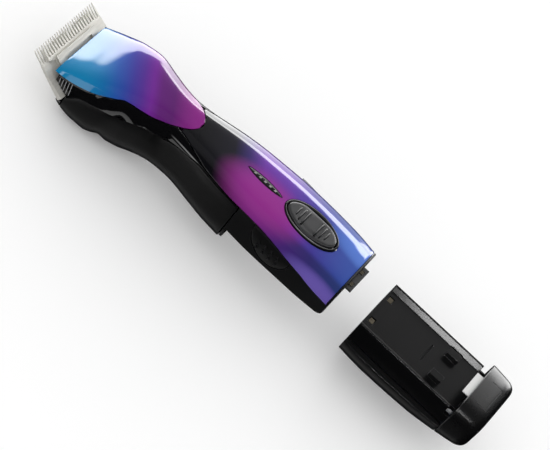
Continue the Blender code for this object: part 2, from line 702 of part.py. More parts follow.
def gear_outline(teeth, centre, turn):
    """A spur gear's outline with straight-flanked, slightly thin teeth."""
    pitch_radius = GEAR_MODULE * teeth / 2
    tip, root = pitch_radius + 0.9 * GEAR_MODULE, pitch_radius - 1.15 * GEAR_MODULE
    step = 2 * math.pi / teeth
    outline = []
    for i in range(teeth):
        middle = turn + i * step
        for share, radius in ((-0.29, root), (-0.12, tip), (0.12, tip), (0.29, root)):
            a = middle + share * step
            outline.append((centre[0] + radius * math.cos(a), centre[1] + radius * math.sin(a)))
    return outline


def drive_gear():
    pivot = (75.0, 0.0, GEAR_HEIGHT)
    outline = gear_outline(GEAR_TEETH, (0.0, GEAR_HEIGHT), math.radians(-90) + math.pi / GEAR_TEETH)
    gear = loft("drive_gear", along_x(outline, 72.0, 77.5), "nylon", pivot)
    boss = rod_x("tool_gear_boss", 69.8, 72.5, 0, GEAR_HEIGHT, 3.8, "nylon", 24)
    bore = rod_x("tool_gear_bore", 73.0, 79, 0, GEAR_HEIGHT, 1.5 + RUNNING_GAP, "nylon", 24)
    crank_hole = rod_x("tool_crank_hole", 68, 72.4, CRANK_THROW, GEAR_HEIGHT, 0.95, "nylon", 16)
    return cut(join(gear, boss), bore, crank_hole)


def crank_pin():
    pivot = (75.0, 0.0, GEAR_HEIGHT)
    return rod_x("crank_pin", 63.5, 72.1, CRANK_THROW, GEAR_HEIGHT, 0.88, "bright_steel", 16, pivot)


def pinion():
    pivot = (76.0, 0.0, MOTOR_HEIGHT)
    outline = gear_outline(PINION_TEETH, (0.0, MOTOR_HEIGHT), math.radians(90))
    gear = loft("pinion", along_x(outline, 72.6, 79.5), "brass", pivot)
    return cut(gear, rod_x("tool_pinion_bore", 71, 81, 0, MOTOR_HEIGHT, 0.97, "brass", 16))


def motor():
    """Can, end bell, two magnets, rotor and shaft of the motor."""
    pivot = (100.0, 0.0, MOTOR_HEIGHT)
    front, z = MOTOR_FRONT_X, MOTOR_HEIGHT
    can = rod_x("motor_can", front, front + 32, 0, z, MOTOR_RADIUS, "bright_steel", 28)
    cut(can, rod_x("tool_can_hollow", front + 1.2, front + 40, 0, z, MOTOR_RADIUS - 1.0, "bright_steel", 28))
    cut(can, rod_x("tool_can_bore", front - 5, front + 5, 0, z, 1.6, "bright_steel", 16))
    bell = rod_x("motor_end_bell", front + 32.3, front + 35.5, 0, z, MOTOR_RADIUS, "satin_black", 28)
    cut(bell, rod_x("tool_bell_bore", front + 30, front + 40, 0, z, 1.0, "satin_black", 16))
    for name, middle in (("magnet_left", 180), ("magnet_right", 0)):
        outer = [math.radians(middle - 62 + 124 * i / 8) for i in range(9)]
        outline = [(9.2 * math.cos(a), z + 9.2 * math.sin(a)) for a in outer]
        outline += [(7.4 * math.cos(a), z + 7.4 * math.sin(a)) for a in reversed(outer)]
        loft(name, along_x(outline, front + 5, front + 27), "magnet_grey")
    rotor = rod_x("motor_rotor", front + 6, front + 26, 0, z, 6.9, "copper", 24, pivot)
    cut(rotor, rod_x("tool_rotor_bore", front, front + 30, 0, z, 0.97, "copper", 16))
    rod_x("motor_shaft", 72.9, front + 34.5, 0, z, 0.88, "bright_steel", 16, pivot)


def gear_plate():
    """Plate across the neck that carries the motor and the gear shaft."""
    x0, x1 = 86.5, 88.5
    ring = [skin(87, 360 * i / 28, 4.8)[1:] for i in range(28)]
    plate = loft("gear_plate", along_x(ring, x0, x1), "magnet_grey")
    cut(plate, rod_x("tool_plate_shaft", 84, 91, 0, MOTOR_HEIGHT, 2.4, "magnet_grey", 16))
    cut(plate, rod_x("tool_plate_gear", 84, 91, 0, GEAR_HEIGHT, 1.5 + RUNNING_GAP, "magnet_grey", 24))
    for side in (-1, 1):
        cut(plate, rod_x(f"tool_plate_screw{side}", 84, 91, side * 6.5, MOTOR_HEIGHT, 1.2, "magnet_grey", 12))
    return plate


def gear_shaft():
    return rod_x("gear_shaft", 73.3, 88.3, 0, GEAR_HEIGHT, 1.5, "bright_steel", 24)


def motor_screw(name, side):
    shank = rod_x(name, 85.9, 91.7, side * 6.5, MOTOR_HEIGHT, 0.9, "bright_steel", 12)
    head = rod_x(f"tool_{name}", 84.8, 86.2, side * 6.5, MOTOR_HEIGHT, 1.9, "bright_steel", 14)
    return join(shank, head)


def drive_arm():
    """Lever from the crank to the cutter, with a wide fork at the rear."""
    pivot = (ARM_PIVOT_X, 0.0, GEAR_HEIGHT)
    low, high = GEAR_HEIGHT - ARM_THICKNESS / 2, GEAR_HEIGHT + ARM_THICKNESS / 2
    side_view = [blade(16.8, 5.5), blade(20.4, 5.5), (36, low), (50, low), (50, high), (35, high), blade(16.8, 7.2)]
    arm = loft("drive_arm", along_y(side_view, -3.2, 3.2), "satin_black", pivot)
    boss = rod_z("tool_arm_boss", low, high, ARM_PIVOT_X, 0, 5.0, "satin_black", 24)
    left_half = [(48, -3.2), (58, -5.9), (67.5, -5.9), (67.5, -3.95), (60.5, -3.95)]
    plan = left_half + [(x, -y) for x, y in reversed(left_half)]
    fork = loft("tool_arm_fork", along_z(plan, low, high), "satin_black")
    bore = rod_z("tool_arm_bore", low - 2, high + 2, ARM_PIVOT_X, 0, 1.5 + RUNNING_GAP, "satin_black", 24)
    return cut(join(arm, boss, fork), bore)


def drive_tip():
    pivot = (ARM_PIVOT_X, 0.0, GEAR_HEIGHT)
    return blade_block("drive_tip", (17.2, 20.0), (-2.0, 2.0), (2.8, 5.2), "nylon", pivot)


def arm_pivot_pin():
    return rod_z("arm_pivot_pin", -1.0, 9.0, ARM_PIVOT_X, 0, 1.5, "bright_steel", 24)


def mechanism_plate():
    """Bridge over the head's floor that holds the arm's pivot pin."""
    section = [(-11, -20.3), (-9.6, -20.3), (-9.6, 1.0), (9.6, 1.0), (9.6, -20.3), (11, -20.3), (11, 3.0), (-11, 3.0)]
    plate = loft("mechanism_plate", along_x(section, 34, 60), "magnet_grey")
    boss = rod_z("tool_plate_boss", 0.0, 4.3, ARM_PIVOT_X, 0, 3.6, "magnet_grey", 20)
    bore = rod_z("tool_plate_bore", -3, 6, ARM_PIVOT_X, 0, 1.5 + RUNNING_GAP, "magnet_grey", 24)
    return cut(join(plate, boss), bore)


# ---------------------------------------------------------------- controls and electronics


def switch_bezel():
    bezel = loft("switch_bezel", along_z(ellipse((SWITCH_X, 0), BEZEL_HALF, 32), 15.4, 20.0), "gloss_black")
    opening = ellipse((SWITCH_X, 0), (SWITCH_HALF[0] + 0.7, SWITCH_HALF[1] + 0.5), 28)
    cut(bezel, loft("tool_bezel_opening", along_z(opening, 10, 30), "gloss_black"))
    dish = loft(
        "tool_bezel_dish",
        [
            [(x, y, 18.6) for x, y in ellipse((SWITCH_X, 0), (16.2, 5.6), 28)],
            [(x, y, 20.4) for x, y in ellipse((SWITCH_X, 0), (17.0, 9.2), 28)],
        ],
        "gloss_black",
    )
    pin_hole = rod_y("tool_bezel_pin", -7.6, 7.6, SWITCH_X, SWITCH_PIVOT_HEIGHT, 1.0, "gloss_black", 16)
    return cut(bezel, dish, pin_hole)


def power_switch():
    """Rocker with three ribs at each end of its top and a dip between them."""
    pivot = (SWITCH_X, 0.0, SWITCH_PIVOT_HEIGHT)
    rocker = loft("power_switch", along_z(ellipse((SWITCH_X, 0), SWITCH_HALF, 28), 16.2, 21.3), "switch_grey", pivot)
    dip = rod_y("tool_switch_dip", -8, 8, SWITCH_X, 27.6, 7.4, "switch_grey", 32)
    cut(rocker, dip)
    for end in (-1, 1):
        for i in range(3):
            x = SWITCH_X + end * (6.6 + 2.1 * i)
            reach = 3.4 - 0.5 * i
            rib = box(f"tool_switch_rib{end}{i}", (x - 0.4, x + 0.4), (-reach, reach), (20.8, 21.8), "switch_grey")
            join(rocker, rib)
    bore_radius = 0.9 + RUNNING_GAP
    cut(rocker, rod_y("tool_switch_bore", -8, 8, SWITCH_X, SWITCH_PIVOT_HEIGHT, bore_radius, "switch_grey", 16))
    return rocker


def switch_pivot_pin():
    return rod_y("switch_pivot_pin", -7.4, 7.4, SWITCH_X, SWITCH_PIVOT_HEIGHT, 0.88, "bright_steel", 16)


def electronics():
    box("control_board", (135, 172.5), (-13.4, 13.4), (12.4, 13.6), "board_green")
    for name, x in (("switch_key_front", SWITCH_X - 10), ("switch_key_rear", SWITCH_X + 7.5)):
        box(name, (x - 2, x + 2), (-2.5, 2.5), (13.9, 15.2), "satin_black")
    lens = loft("indicator_lens", along_z(leaf((LENS_X, 0), LENS_HALF, 10), 17.4, 19.8), "smoke")
    lamps = box("lamp_board", (120, 142.5), (-2.6, 2.6), (14.3, 15.1), "board_green")
    for i in range(5):
        x = LENS_X - 7 + 3.5 * i
        join(lamps, box(f"tool_lamp{i}", (x - 0.8, x + 0.8), (-0.8, 0.8), (14.9, 16.6), "white_plastic"))
    return lens


def contact_block():
    block = box("contact_block", (186, 200.4), (-8.8, 8.8), (11.95, 13.2), "satin_black")
    for side in (-1, 1):
        width = sorted((side * 3.4, side * 6.6))
        cut(block, box(f"tool_terminal_slot{side}", (184, 199.2), width, (12.55, 15), "satin_black"))
    return block


def terminal(name, side):
    return box(name, (187, 198.8), sorted((side * 3.8, side * 6.2)), (12.85, 13.5), "brass")


# ---------------------------------------------------------------- battery


def slid(x):
    """Where a station of the seated battery is drawn."""
    return x + BATTERY_TRAVEL


def slid_ring(ring):
    return [(slid(x), y, z) for x, y, z in ring]


def battery_pivot():
    return (slid(BATTERY_FRONT_X), 0.0, 0.0)


def battery_shell():
    """Lower outer shell, flush with the handle when seated."""
    stations = (BATTERY_FRONT_X, 140, 150, 162, 174, 184, 192, 196.9)
    rings = []
    for x in stations:
        edge, inner = height_angle(x, SEAM_HEIGHT - GAP), height_angle(x, SEAM_HEIGHT - GAP, SHELL_WALL)
        rings.append(slid_ring(arc(x, edge, 360 - edge, 0, 18) + arc(x, 360 - inner, inner, SHELL_WALL, 18)))
    shell = loft("battery_shell", rings, "satin_black", battery_pivot())
    for x in (150, 186):
        cut(shell, rod_z(f"tool_shell_screw{x}", -25, -10, slid(x), 0, 2.4, "satin_black", 16))
    return shell


def battery_screw(name, x):
    bottom = smooth(x, BOTTOM) + 0.5
    return rod_z(name, bottom, bottom + 2.6, slid(x), 0, 2.1, "bright_steel", 16, battery_pivot())


def battery_tray():
    """Upper half of the pack: tray between two rails, front wall, contact recesses and two latch pegs."""
    outline = [(y, max(z, SEAM_HEIGHT + 0.1)) for y, z in channel_outline(0.0)]
    rings = along_x(outline, slid(BATTERY_FRONT_X), slid(196.9))
    tray = loft("battery_tray", rings, "satin_black", battery_pivot())
    inner_x = BATTERY_FRONT_X + BATTERY_WALL
    hollow = box("tool_tray_hollow", (slid(inner_x), slid(199)), (-16.4, 16.4), (-8, 6.2), "satin_black")
    cut(tray, hollow)
    wall = []
    for x in (BATTERY_FRONT_X, inner_x):
        edge = height_angle(x, SEAM_HEIGHT - GAP, 2.4)
        top = [(x, -16, -3.5), (x, -16, -2.0), (x, 16, -2.0), (x, 16, -3.5)]
        wall.append(slid_ring(arc(x, edge, 360 - edge, 2.4, 16) + top))
    join(tray, loft("tool_tray_wall", wall, "satin_black"))
    for side in (-1, 1):
        peg_y = sorted((side * 6.6, side * 10.6))
        recess_y = sorted((side * 6.9, side * 10.9))
        notch_y = sorted((side * 14.9, side * 25))
        join(tray, box(f"tool_peg{side}", (slid(175), slid(182.5)), peg_y, (7.5, 11.5), "satin_black"))
        cut(tray, box(f"tool_recess{side}", (slid(134.4), slid(137.8)), recess_y, (6.9, 9), "satin_black"))
        cut(tray, box(f"tool_notch{side}", (slid(193.9), slid(199)), notch_y, (4.5, 12), "satin_black"))
    cut(tray, box("tool_tray_slot", (slid(167), slid(167.9)), (-6.3, 6.3), (7.2, 9), "satin_black"))
    return tray


def battery_end_cap():
    rear = BATTERY_REAR_X
    stations = ((197.2, 0.25), (197.5, 0), (204, 0), (209, 0.2), (rear - 2.2, 1.0), (rear - 0.7, 2.3), (rear, 4.2))
    rings = []
    for x, inset in stations:
        rings.append(slid_ring([skin(x, 360 * i / 28, inset) for i in range(28)]))
    end = loft("battery_end_cap", rings, "satin_black", battery_pivot())
    cell_room = box("tool_cell_room", (slid(196), slid(202.5)), (-17, 17), (-12.8, 6.2), "satin_black")
    contact_room = box("tool_contact_room", (slid(196), slid(201.2)), (-9.3, 9.3), (11.4, 15.5), "satin_black")
    return cut(end, cell_room, contact_room)


def cap_tongue():
    """Pale strip at the front of the end cap; it tucks under the handle cover."""
    return box("cap_tongue", (slid(193.3), slid(200.8)), (-7.6, 7.6), (14.0, 15.2), "white_plastic", battery_pivot())


def battery_cell(name, side):
    front, rear = slid(CELL_FRONT_X), slid(CELL_FRONT_X + CELL_LENGTH)
    return rod_x(name, front, rear, side * 8.3, -4.2, CELL_RADIUS, "cell_wrap", 24, battery_pivot())


def battery_electronics():
    box("battery_board", (slid(140), slid(182)), (-12, 12), (4.5, 5.6), "board_green", battery_pivot())
    for name, side in (("battery_contact_left", -1), ("battery_contact_right", 1)):
        box(name, (slid(134.8), slid(137.4)), sorted((side * 7.4, side * 10.4)), (7.2, 7.7), "brass", battery_pivot())


def build_housing():
    drive_cap()
    handle_cover()
    upper_housing()
    lower_housing()
    soft_grip()
    finger_rest()
    battery_bay()
    release_button("release_button_left", -1)
    release_button("release_button_right", 1)


def build_blade_set():
    comb_blade()
    cutter_blade()
    blade_socket()
    tension_spring()
    blade_screw("blade_screw_left", -1)
    blade_screw("blade_screw_right", 1)
    hinge_tongue()
    hinge_bracket()
    hinge_pin()
    hinge_screw("hinge_screw_left", -1)
    hinge_screw("hinge_screw_right", 1)
    blade_latch()


def build_drive():
    drive_gear()
    crank_pin()
    pinion()
    motor()
    gear_plate()
    gear_shaft()
    motor_screw("motor_screw_left", -1)
    motor_screw("motor_screw_right", 1)
    drive_arm()
    drive_tip()
    arm_pivot_pin()
    mechanism_plate()


def build_controls():
    switch_bezel()
    power_switch()
    switch_pivot_pin()
    electronics()
    contact_block()
    terminal("terminal_left", -1)
    terminal("terminal_right", 1)


def build_battery():
    battery_shell()
    battery_screw("battery_screw_front", 150)
    battery_screw("battery_screw_rear", 186)
    battery_tray()
    battery_end_cap()
    cap_tongue()
    battery_cell("battery_cell_left", -1)
    battery_cell("battery_cell_right", 1)
    battery_electronics()


clear_scene()
build_housing()
build_blade_set()
build_drive()
build_controls()
build_battery()
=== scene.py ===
"""Looks of the electric pet clipper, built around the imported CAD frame.

Shapes are drawn in the CAD source's drawing frame: millimetres, X along the handle from the tooth tips, Y across,
Z up from the tooth tips. drawn() turns a drawing point into the frame's metres.
"""

import json
import math

import bmesh
import bpy
from mathutils import Matrix, Vector


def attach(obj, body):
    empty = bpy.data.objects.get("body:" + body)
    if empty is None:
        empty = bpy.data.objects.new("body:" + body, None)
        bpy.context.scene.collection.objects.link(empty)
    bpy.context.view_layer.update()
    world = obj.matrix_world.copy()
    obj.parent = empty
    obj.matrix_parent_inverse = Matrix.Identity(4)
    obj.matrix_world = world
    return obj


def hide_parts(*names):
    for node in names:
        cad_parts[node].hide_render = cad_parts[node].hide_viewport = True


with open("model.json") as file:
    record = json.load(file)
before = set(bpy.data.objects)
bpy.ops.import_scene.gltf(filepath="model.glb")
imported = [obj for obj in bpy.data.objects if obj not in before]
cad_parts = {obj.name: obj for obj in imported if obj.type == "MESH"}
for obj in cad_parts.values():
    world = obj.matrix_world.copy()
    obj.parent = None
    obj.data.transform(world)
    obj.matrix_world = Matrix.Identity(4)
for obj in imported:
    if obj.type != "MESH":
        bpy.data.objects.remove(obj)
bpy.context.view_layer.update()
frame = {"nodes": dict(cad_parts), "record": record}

MM = 0.001
REST_PAD = Vector((37.5, 0.0, -31.0))
GAP = 0.3

# The handle's skin, as in the CAD source: (x, value) stations.
HALF_WIDTH = (
    (14, 21.8), (30, 21.8), (47, 21.2), (60, 17.8), (70, 15.5), (78, 14.6), (86, 15.3), (95, 16.7),
    (110, 19.4), (128, 21.4), (150, 22.6), (178, 22.3), (197, 21.0), (213.5, 19.6),
)
TOP = (
    (14, -1.6), (25, 5.4), (37, 12.0), (50, 15.6), (62, 16.8), (75, 17.4), (88, 18.1), (100, 19.1),
    (120, 19.9), (160, 19.9), (185, 18.7), (197, 17.3), (213.5, 16.4),
)
BOTTOM = (
    (19, -24.0), (26, -29.3), (34, -31.2), (41, -31.2), (46, -28.8), (50, -25.8), (55, -27.4), (60, -27.0),
    (67, -24.3), (75, -21.2), (85, -19.0), (95, -18.2), (106, -18.8), (120, -20.2), (131, -20.4),
    (131.4, -18.6), (150, -19.2), (173, -18.4), (194, -16.0), (203, -14.0), (213.5, -11.5),
)
WIDEST_HEIGHT = ((14, -5), (25, 0), (37, 5), (47, 7), (60, 6), (75, 4), (90, 2), (213.5, 1))
TOP_SQUARENESS = ((14, 4.0), (47, 4.5), (70, 4.0), (95, 4.5), (150, 5.0))
BOTTOM_SQUARENESS = ((14, 6.5), (75, 5.5), (95, 4.0), (131, 3.6))

CAP_EDGE_HEIGHT = (
    (14, -4.0), (20.6, -2.8), (26.5, -1.0), (33, 1.9), (38.6, 5.1), (43.5, 8.5), (47.5, 11.3), (52, 13.5), (60, 13.7),
)
CAP_EDGE_HALF_WIDTH = (
    (38.6, 21.6), (43.5, 21.3), (47.5, 20.7), (52, 18.7), (60, 16.7), (68, 14.6), (72, 13.3), (76.5, 11.8), (80, 10.2),
    (83, 8.5), (86, 5.9), (87.8, 3.2), (88.5, 0.6),
)
CAP_RIDGE = ((14, 62), (24, 67.5), (36.6, 74), (46.7, 67), (53, 58))
CAP_RIDGE_END_X = 53.0
COVER_EDGE_HALF_WIDTH = ((80, 10.5), (83.5, 10.9), (90, 12.7), (95, 14.3), (103, 16.7))
COVER_EDGE_HEIGHT = (
    (83, 15.2), (88, 15.7), (95, 16.1), (98, 16.0), (103, 15.5), (122, 15.3), (135, 15.7), (144, 15.8),
    (154.6, 14.9), (166, 12.9), (175.4, 11.3), (185, 8.8), (196, 6.4),
)
GRIP_EDGE_HEIGHT = (
    (19, -19.5), (25.4, -16.3), (28.5, -12.3), (32, -7.9), (36.6, -5.8), (48.7, -1.4), (60, 1.4), (71, 4.7),
    (77, 6.3), (85.8, 10.3), (92.5, 12.0), (103.7, 14.6), (131, 14.8),
)
BUTTON_LOWER_EDGE = (
    (143.3, 11.0), (146, 5.8), (149, 3.0), (152.5, 0.6), (157, -0.7), (161.5, 0.1), (165.5, 2.8), (168.3, 6.8),
)
CAP_SIDE_X, CAP_TOP_X, CAP_TIP_X = 42.0, 60.0, 88.5
COVER_FRONT_X, NECK_X, COVER_SIDE_X, COVER_REAR_X = 83.0, 90.0, 103.0, 195.6
FRONT_BODY_REAR_X, BAY_FRONT_X, BAY_REAR_X = 130.7, 131.3, 197.0
CHIN_FRONT_X, GRIP_FRONT_X = 21.8, 25.5
COVER_WALL, GRIP_WALL, SHELL_WALL, SEAT_GAP = 1.5, 2.2, 2.0, 0.4
SWITCH_X, SWITCH_HALF, BEZEL_HALF = 163.2, (15.6, 5.0), (17.4, 9.6)
LENS_X, LENS_HALF = 131.2, (11.3, 1.8)
BUTTON_START_X, BUTTON_END_X = 143.0, 169.3
BATTERY_TRAVEL, BATTERY_FRONT_X, BATTERY_WALL = 82.0, 132.9, 2.0
TRAY_HALF_WIDTH, TRAY_TOP, RAIL_TOP, SEAM_HEIGHT = 18.4, 8.0, 10.4, -3.2
BLADE_SLOPE = math.radians(28)


# ---------------------------------------------------------------- skin


def drawn(point):
    return (Vector(point) - REST_PAD) * MM


def smooth(x, stations):
    """A monotone cubic curve through (x, value) stations."""
    if x <= stations[0][0]:
        return stations[0][1]
    if x >= stations[-1][0]:
        return stations[-1][1]
    slopes = [(b[1] - a[1]) / (b[0] - a[0]) for a, b in zip(stations, stations[1:])]

    def tangent(i):
        if i == 0:
            return slopes[0]
        if i == len(stations) - 1:
            return slopes[-1]
        before, after = slopes[i - 1], slopes[i]
        return 0.0 if before * after <= 0 else 2 * before * after / (before + after)

    i = next(k for k in range(len(slopes)) if x <= stations[k + 1][0])
    (x0, y0), (x1, y1) = stations[i], stations[i + 1]
    h = x1 - x0
    s = (x - x0) / h
    start = (1 + 2 * s) * (1 - s) ** 2 * y0 + s * (1 - s) ** 2 * h * tangent(i)
    end = s * s * (3 - 2 * s) * y1 + s * s * (s - 1) * h * tangent(i + 1)
    return start + end


def skin(x, angle, inset=0.0):
    """The section at x: a squared oval. Angle 0 is the top centre, 90 a side, 180 the bottom; left is negative."""
    a = math.radians(angle)
    middle = smooth(x, WIDEST_HEIGHT)
    width = smooth(x, HALF_WIDTH) - inset
    side, up = math.sin(a), math.cos(a)
    if up >= 0:
        height, power = smooth(x, TOP) - middle, smooth(x, TOP_SQUARENESS)
    else:
        height, power = middle - smooth(x, BOTTOM), smooth(x, BOTTOM_SQUARENESS)
    height = max(height - inset, 0.5)
    y = math.copysign(width * abs(side) ** (2 / power), side)
    return Vector((x, y, middle + math.copysign(height * abs(up) ** (2 / power), up)))


def height_angle(x, height, inset=0.0):
    middle = smooth(x, WIDEST_HEIGHT)
    if height >= middle:
        reach, power = smooth(x, TOP) - middle - inset, smooth(x, TOP_SQUARENESS)
        return math.degrees(math.acos(min(1.0, (height - middle) / reach) ** (power / 2)))
    reach, power = middle - smooth(x, BOTTOM) - inset, smooth(x, BOTTOM_SQUARENESS)
    return 180 - math.degrees(math.acos(min(1.0, (middle - height) / reach) ** (power / 2)))


def width_angle(x, half_width):
    share = min(1.0, half_width / smooth(x, HALF_WIDTH))
    return math.degrees(math.asin(share ** (smooth(x, TOP_SQUARENESS) / 2)))


def blended(on_top, on_side, share):
    return on_top + (on_side - on_top) * min(1.0, max(0.0, share))


def cap_edge(x, shift=0.0, inset=0.0):
    on_top = width_angle(x, smooth(x, CAP_EDGE_HALF_WIDTH) + shift)
    on_side = height_angle(x, smooth(x, CAP_EDGE_HEIGHT) - shift, inset)
    return blended(on_top, on_side, (CAP_TOP_X - x) / (CAP_TOP_X - CAP_SIDE_X))


def cover_edge(x, shift=0.0, inset=0.0):
    on_top = width_angle(x, smooth(x, COVER_EDGE_HALF_WIDTH) + shift)
    on_side = height_angle(x, smooth(x, COVER_EDGE_HEIGHT) - shift, inset)
    return blended(on_top, on_side, (x - NECK_X) / (COVER_SIDE_X - NECK_X))


def top_edge(x, shift=0.0, inset=0.0):
    return cap_edge(x, shift, inset) if x < COVER_FRONT_X - 2 else cover_edge(x, shift, inset)


def grip_edge(x, shift=0.0, inset=0.0):
    return height_angle(x, smooth(x, GRIP_EDGE_HEIGHT) - shift, inset)


def blade(u, v):
    return (
        u * math.cos(BLADE_SLOPE) + v * math.sin(BLADE_SLOPE),
        -u * math.sin(BLADE_SLOPE) + v * math.cos(BLADE_SLOPE),
    )


# ---------------------------------------------------------------- mesh helpers


def piece(name, points, faces, material, body="housing", replaced=(), sharp=35.0):
    mesh = bpy.data.meshes.new(name)
    bm = bmesh.new()
    verts = [bm.verts.new(drawn(p)) for p in points]
    for face in faces:
        bm.faces.new([verts[i] for i in face])
    bmesh.ops.remove_doubles(bm, verts=bm.verts, dist=2e-6)
    bmesh.ops.recalc_face_normals(bm, faces=bm.faces)
    bm.to_mesh(mesh)
    bm.free()
    mesh.shade_smooth()
    mesh.set_sharp_from_angle(angle=math.radians(sharp))
    mesh.materials.append(material)
    obj = bpy.data.objects.new(name, mesh)
    bpy.context.scene.collection.objects.link(obj)
    if body:
        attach(obj, body)
        if replaced:
            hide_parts(*replaced)
    return obj


def skin_faces(rings, first=0):
    count = len(rings[0])
    faces = [tuple(first + i for i in range(count))]
    faces.append(tuple(first + i for i in range((len(rings) - 1) * count, len(rings) * count)))
    for r in range(len(rings) - 1):
        for i in range(count):
            j = (i + 1) % count
            row, following = first + r * count, first + (r + 1) * count
            faces.append((row + i, row + j, following + j, following + i))
    return faces


def loft(name, rings, material, body="housing", replaced=(), sharp=35.0):
    points = [p for ring in rings for p in ring]
    return piece(name, points, skin_faces(rings), material, body, replaced, sharp)


def lofts(name, sets, material, body="housing", replaced=(), sharp=35.0):
    """Several closed lofts in one piece, for details that repeat."""
    points, faces = [], []
    for rings in sets:
        faces += skin_faces(rings, len(points))
        points += [p for ring in rings for p in ring]
    return piece(name, points, faces, material, body, replaced, sharp)


def along_x(outline, x0, x1):
    return [[(x, y, z) for y, z in outline] for x in (x0, x1)]


def along_y(outline, y0, y1):
    return [[(x, y, z) for x, z in outline] for y in (y0, y1)]


def along_z(outline, z0, z1):
    return [[(x, y, z) for x, y in outline] for z in (z0, z1)]


def box_rings(x, y, z):
    return along_z([(x[0], y[0]), (x[1], y[0]), (x[1], y[1]), (x[0], y[1])], z[0], z[1])


def ellipse(centre, half, count):
    steps = [2 * math.pi * i / count for i in range(count)]
    return [(centre[0] + half[0] * math.cos(a), centre[1] + half[1] * math.sin(a)) for a in steps]


def leaf(centre, half, count):
    upper = [math.pi * i / count for i in range(count)]
    rim = [(math.cos(a), math.sin(a) ** 1.25) for a in upper]
    rim += [(-x, -y) for x, y in rim]
    return [(centre[0] + half[0] * x, centre[1] + half[1] * y) for x, y in rim]


def tool(rings):
    return loft("tool", rings, None, body=None)


def carve(obj, operation, *tools):
    """Applies EXACT booleans to a finished piece and removes the operands."""
    for operand in tools:
        step = obj.modifiers.new("carve", "BOOLEAN")
        step.operation = operation
        step.solver = "EXACT"
        step.object = operand
    graph = bpy.context.evaluated_depsgraph_get()
    graph.update()
    result = bpy.data.meshes.new_from_object(obj.evaluated_get(graph))
    obj.modifiers.clear()
    material = obj.data.materials[0]
    obj.data = result
    obj.data.materials.clear()
    obj.data.materials.append(material)
    obj.data.polygons.foreach_set("material_index", [0] * len(result.polygons))
    for operand in tools:
        bpy.data.objects.remove(operand)
    result.set_sharp_from_angle(angle=math.radians(35))
    return obj


def soften(obj, width_mm, segments=2, angle=35.0):
    """Rounds a piece's hard edges."""
    step = obj.modifiers.new("soften", "BEVEL")
    step.width = width_mm * MM
    step.segments = segments
    step.limit_method = "ANGLE"
    step.angle_limit = math.radians(angle)
    even = obj.modifiers.new("even", "WEIGHTED_NORMAL")
    even.keep_sharp = True
    return obj


def span(x0, x1, step):
    count = max(2, round((x1 - x0) / step) + 1)
    return [x0 + (x1 - x0) * i / (count - 1) for i in range(count)]


def ends(x0, x1, step, radius):
    """Stations from x0 to x1 with closely spaced ones at each end, each with the inset that rounds the end."""
    turns = [math.pi / 2 * i / 4 for i in range(5)]
    front = [(x0 + radius * (1 - math.cos(t)), radius * (1 - math.sin(t))) for t in turns]
    rear = [(x1 - radius * (1 - math.cos(t)), radius * (1 - math.sin(t))) for t in reversed(turns)]
    middle = [(x, 0.0) for x in span(x0 + radius, x1 - radius, step)[1:-1]]
    return front + middle + rear


def rolled(x, start, end, radius, lift, count, surface=skin, base=0.0):
    """Outer arc whose two ends roll inward by radius. lift is a further inset near the piece's ends."""
    rate_start = (surface(x, start + 0.5, base) - surface(x, start, base)).length / 0.5
    rate_end = (surface(x, end, base) - surface(x, end - 0.5, base)).length / 0.5
    turn_start, turn_end = radius / max(rate_start, 0.02), radius / max(rate_end, 0.02)
    turn_start, turn_end = min(turn_start, (end - start) / 4), min(turn_end, (end - start) / 4)
    turns = [math.pi / 2 * i / 3 for i in range(4)]
    points = []
    for t in turns[:-1]:
        inset = max(lift, radius * (1 - math.sin(t)))
        points.append(surface(x, start + turn_start * (1 - math.cos(t)), base + inset))
    for i in range(count):
        angle = start + turn_start + (end - turn_end - start - turn_start) * i / (count - 1)
        points.append(surface(x, angle, base + lift))
    for t in reversed(turns[:-1]):
        inset = max(lift, radius * (1 - math.sin(t)))
        points.append(surface(x, end - turn_end * (1 - math.cos(t)), base + inset))
    return points


def arc(x, start, end, inset, count):
    return [skin(x, start + (end - start) * i / (count - 1), inset) for i in range(count)]


# ---------------------------------------------------------------- materials


def colour(red, green, blue):
    """Linear colour from 0 to 255 display values."""
    def linear(v):
        v /= 255
        return v / 12.92 if v <= 0.04045 else ((v + 0.055) / 1.055) ** 2.4
    return (linear(red), linear(green), linear(blue), 1.0)


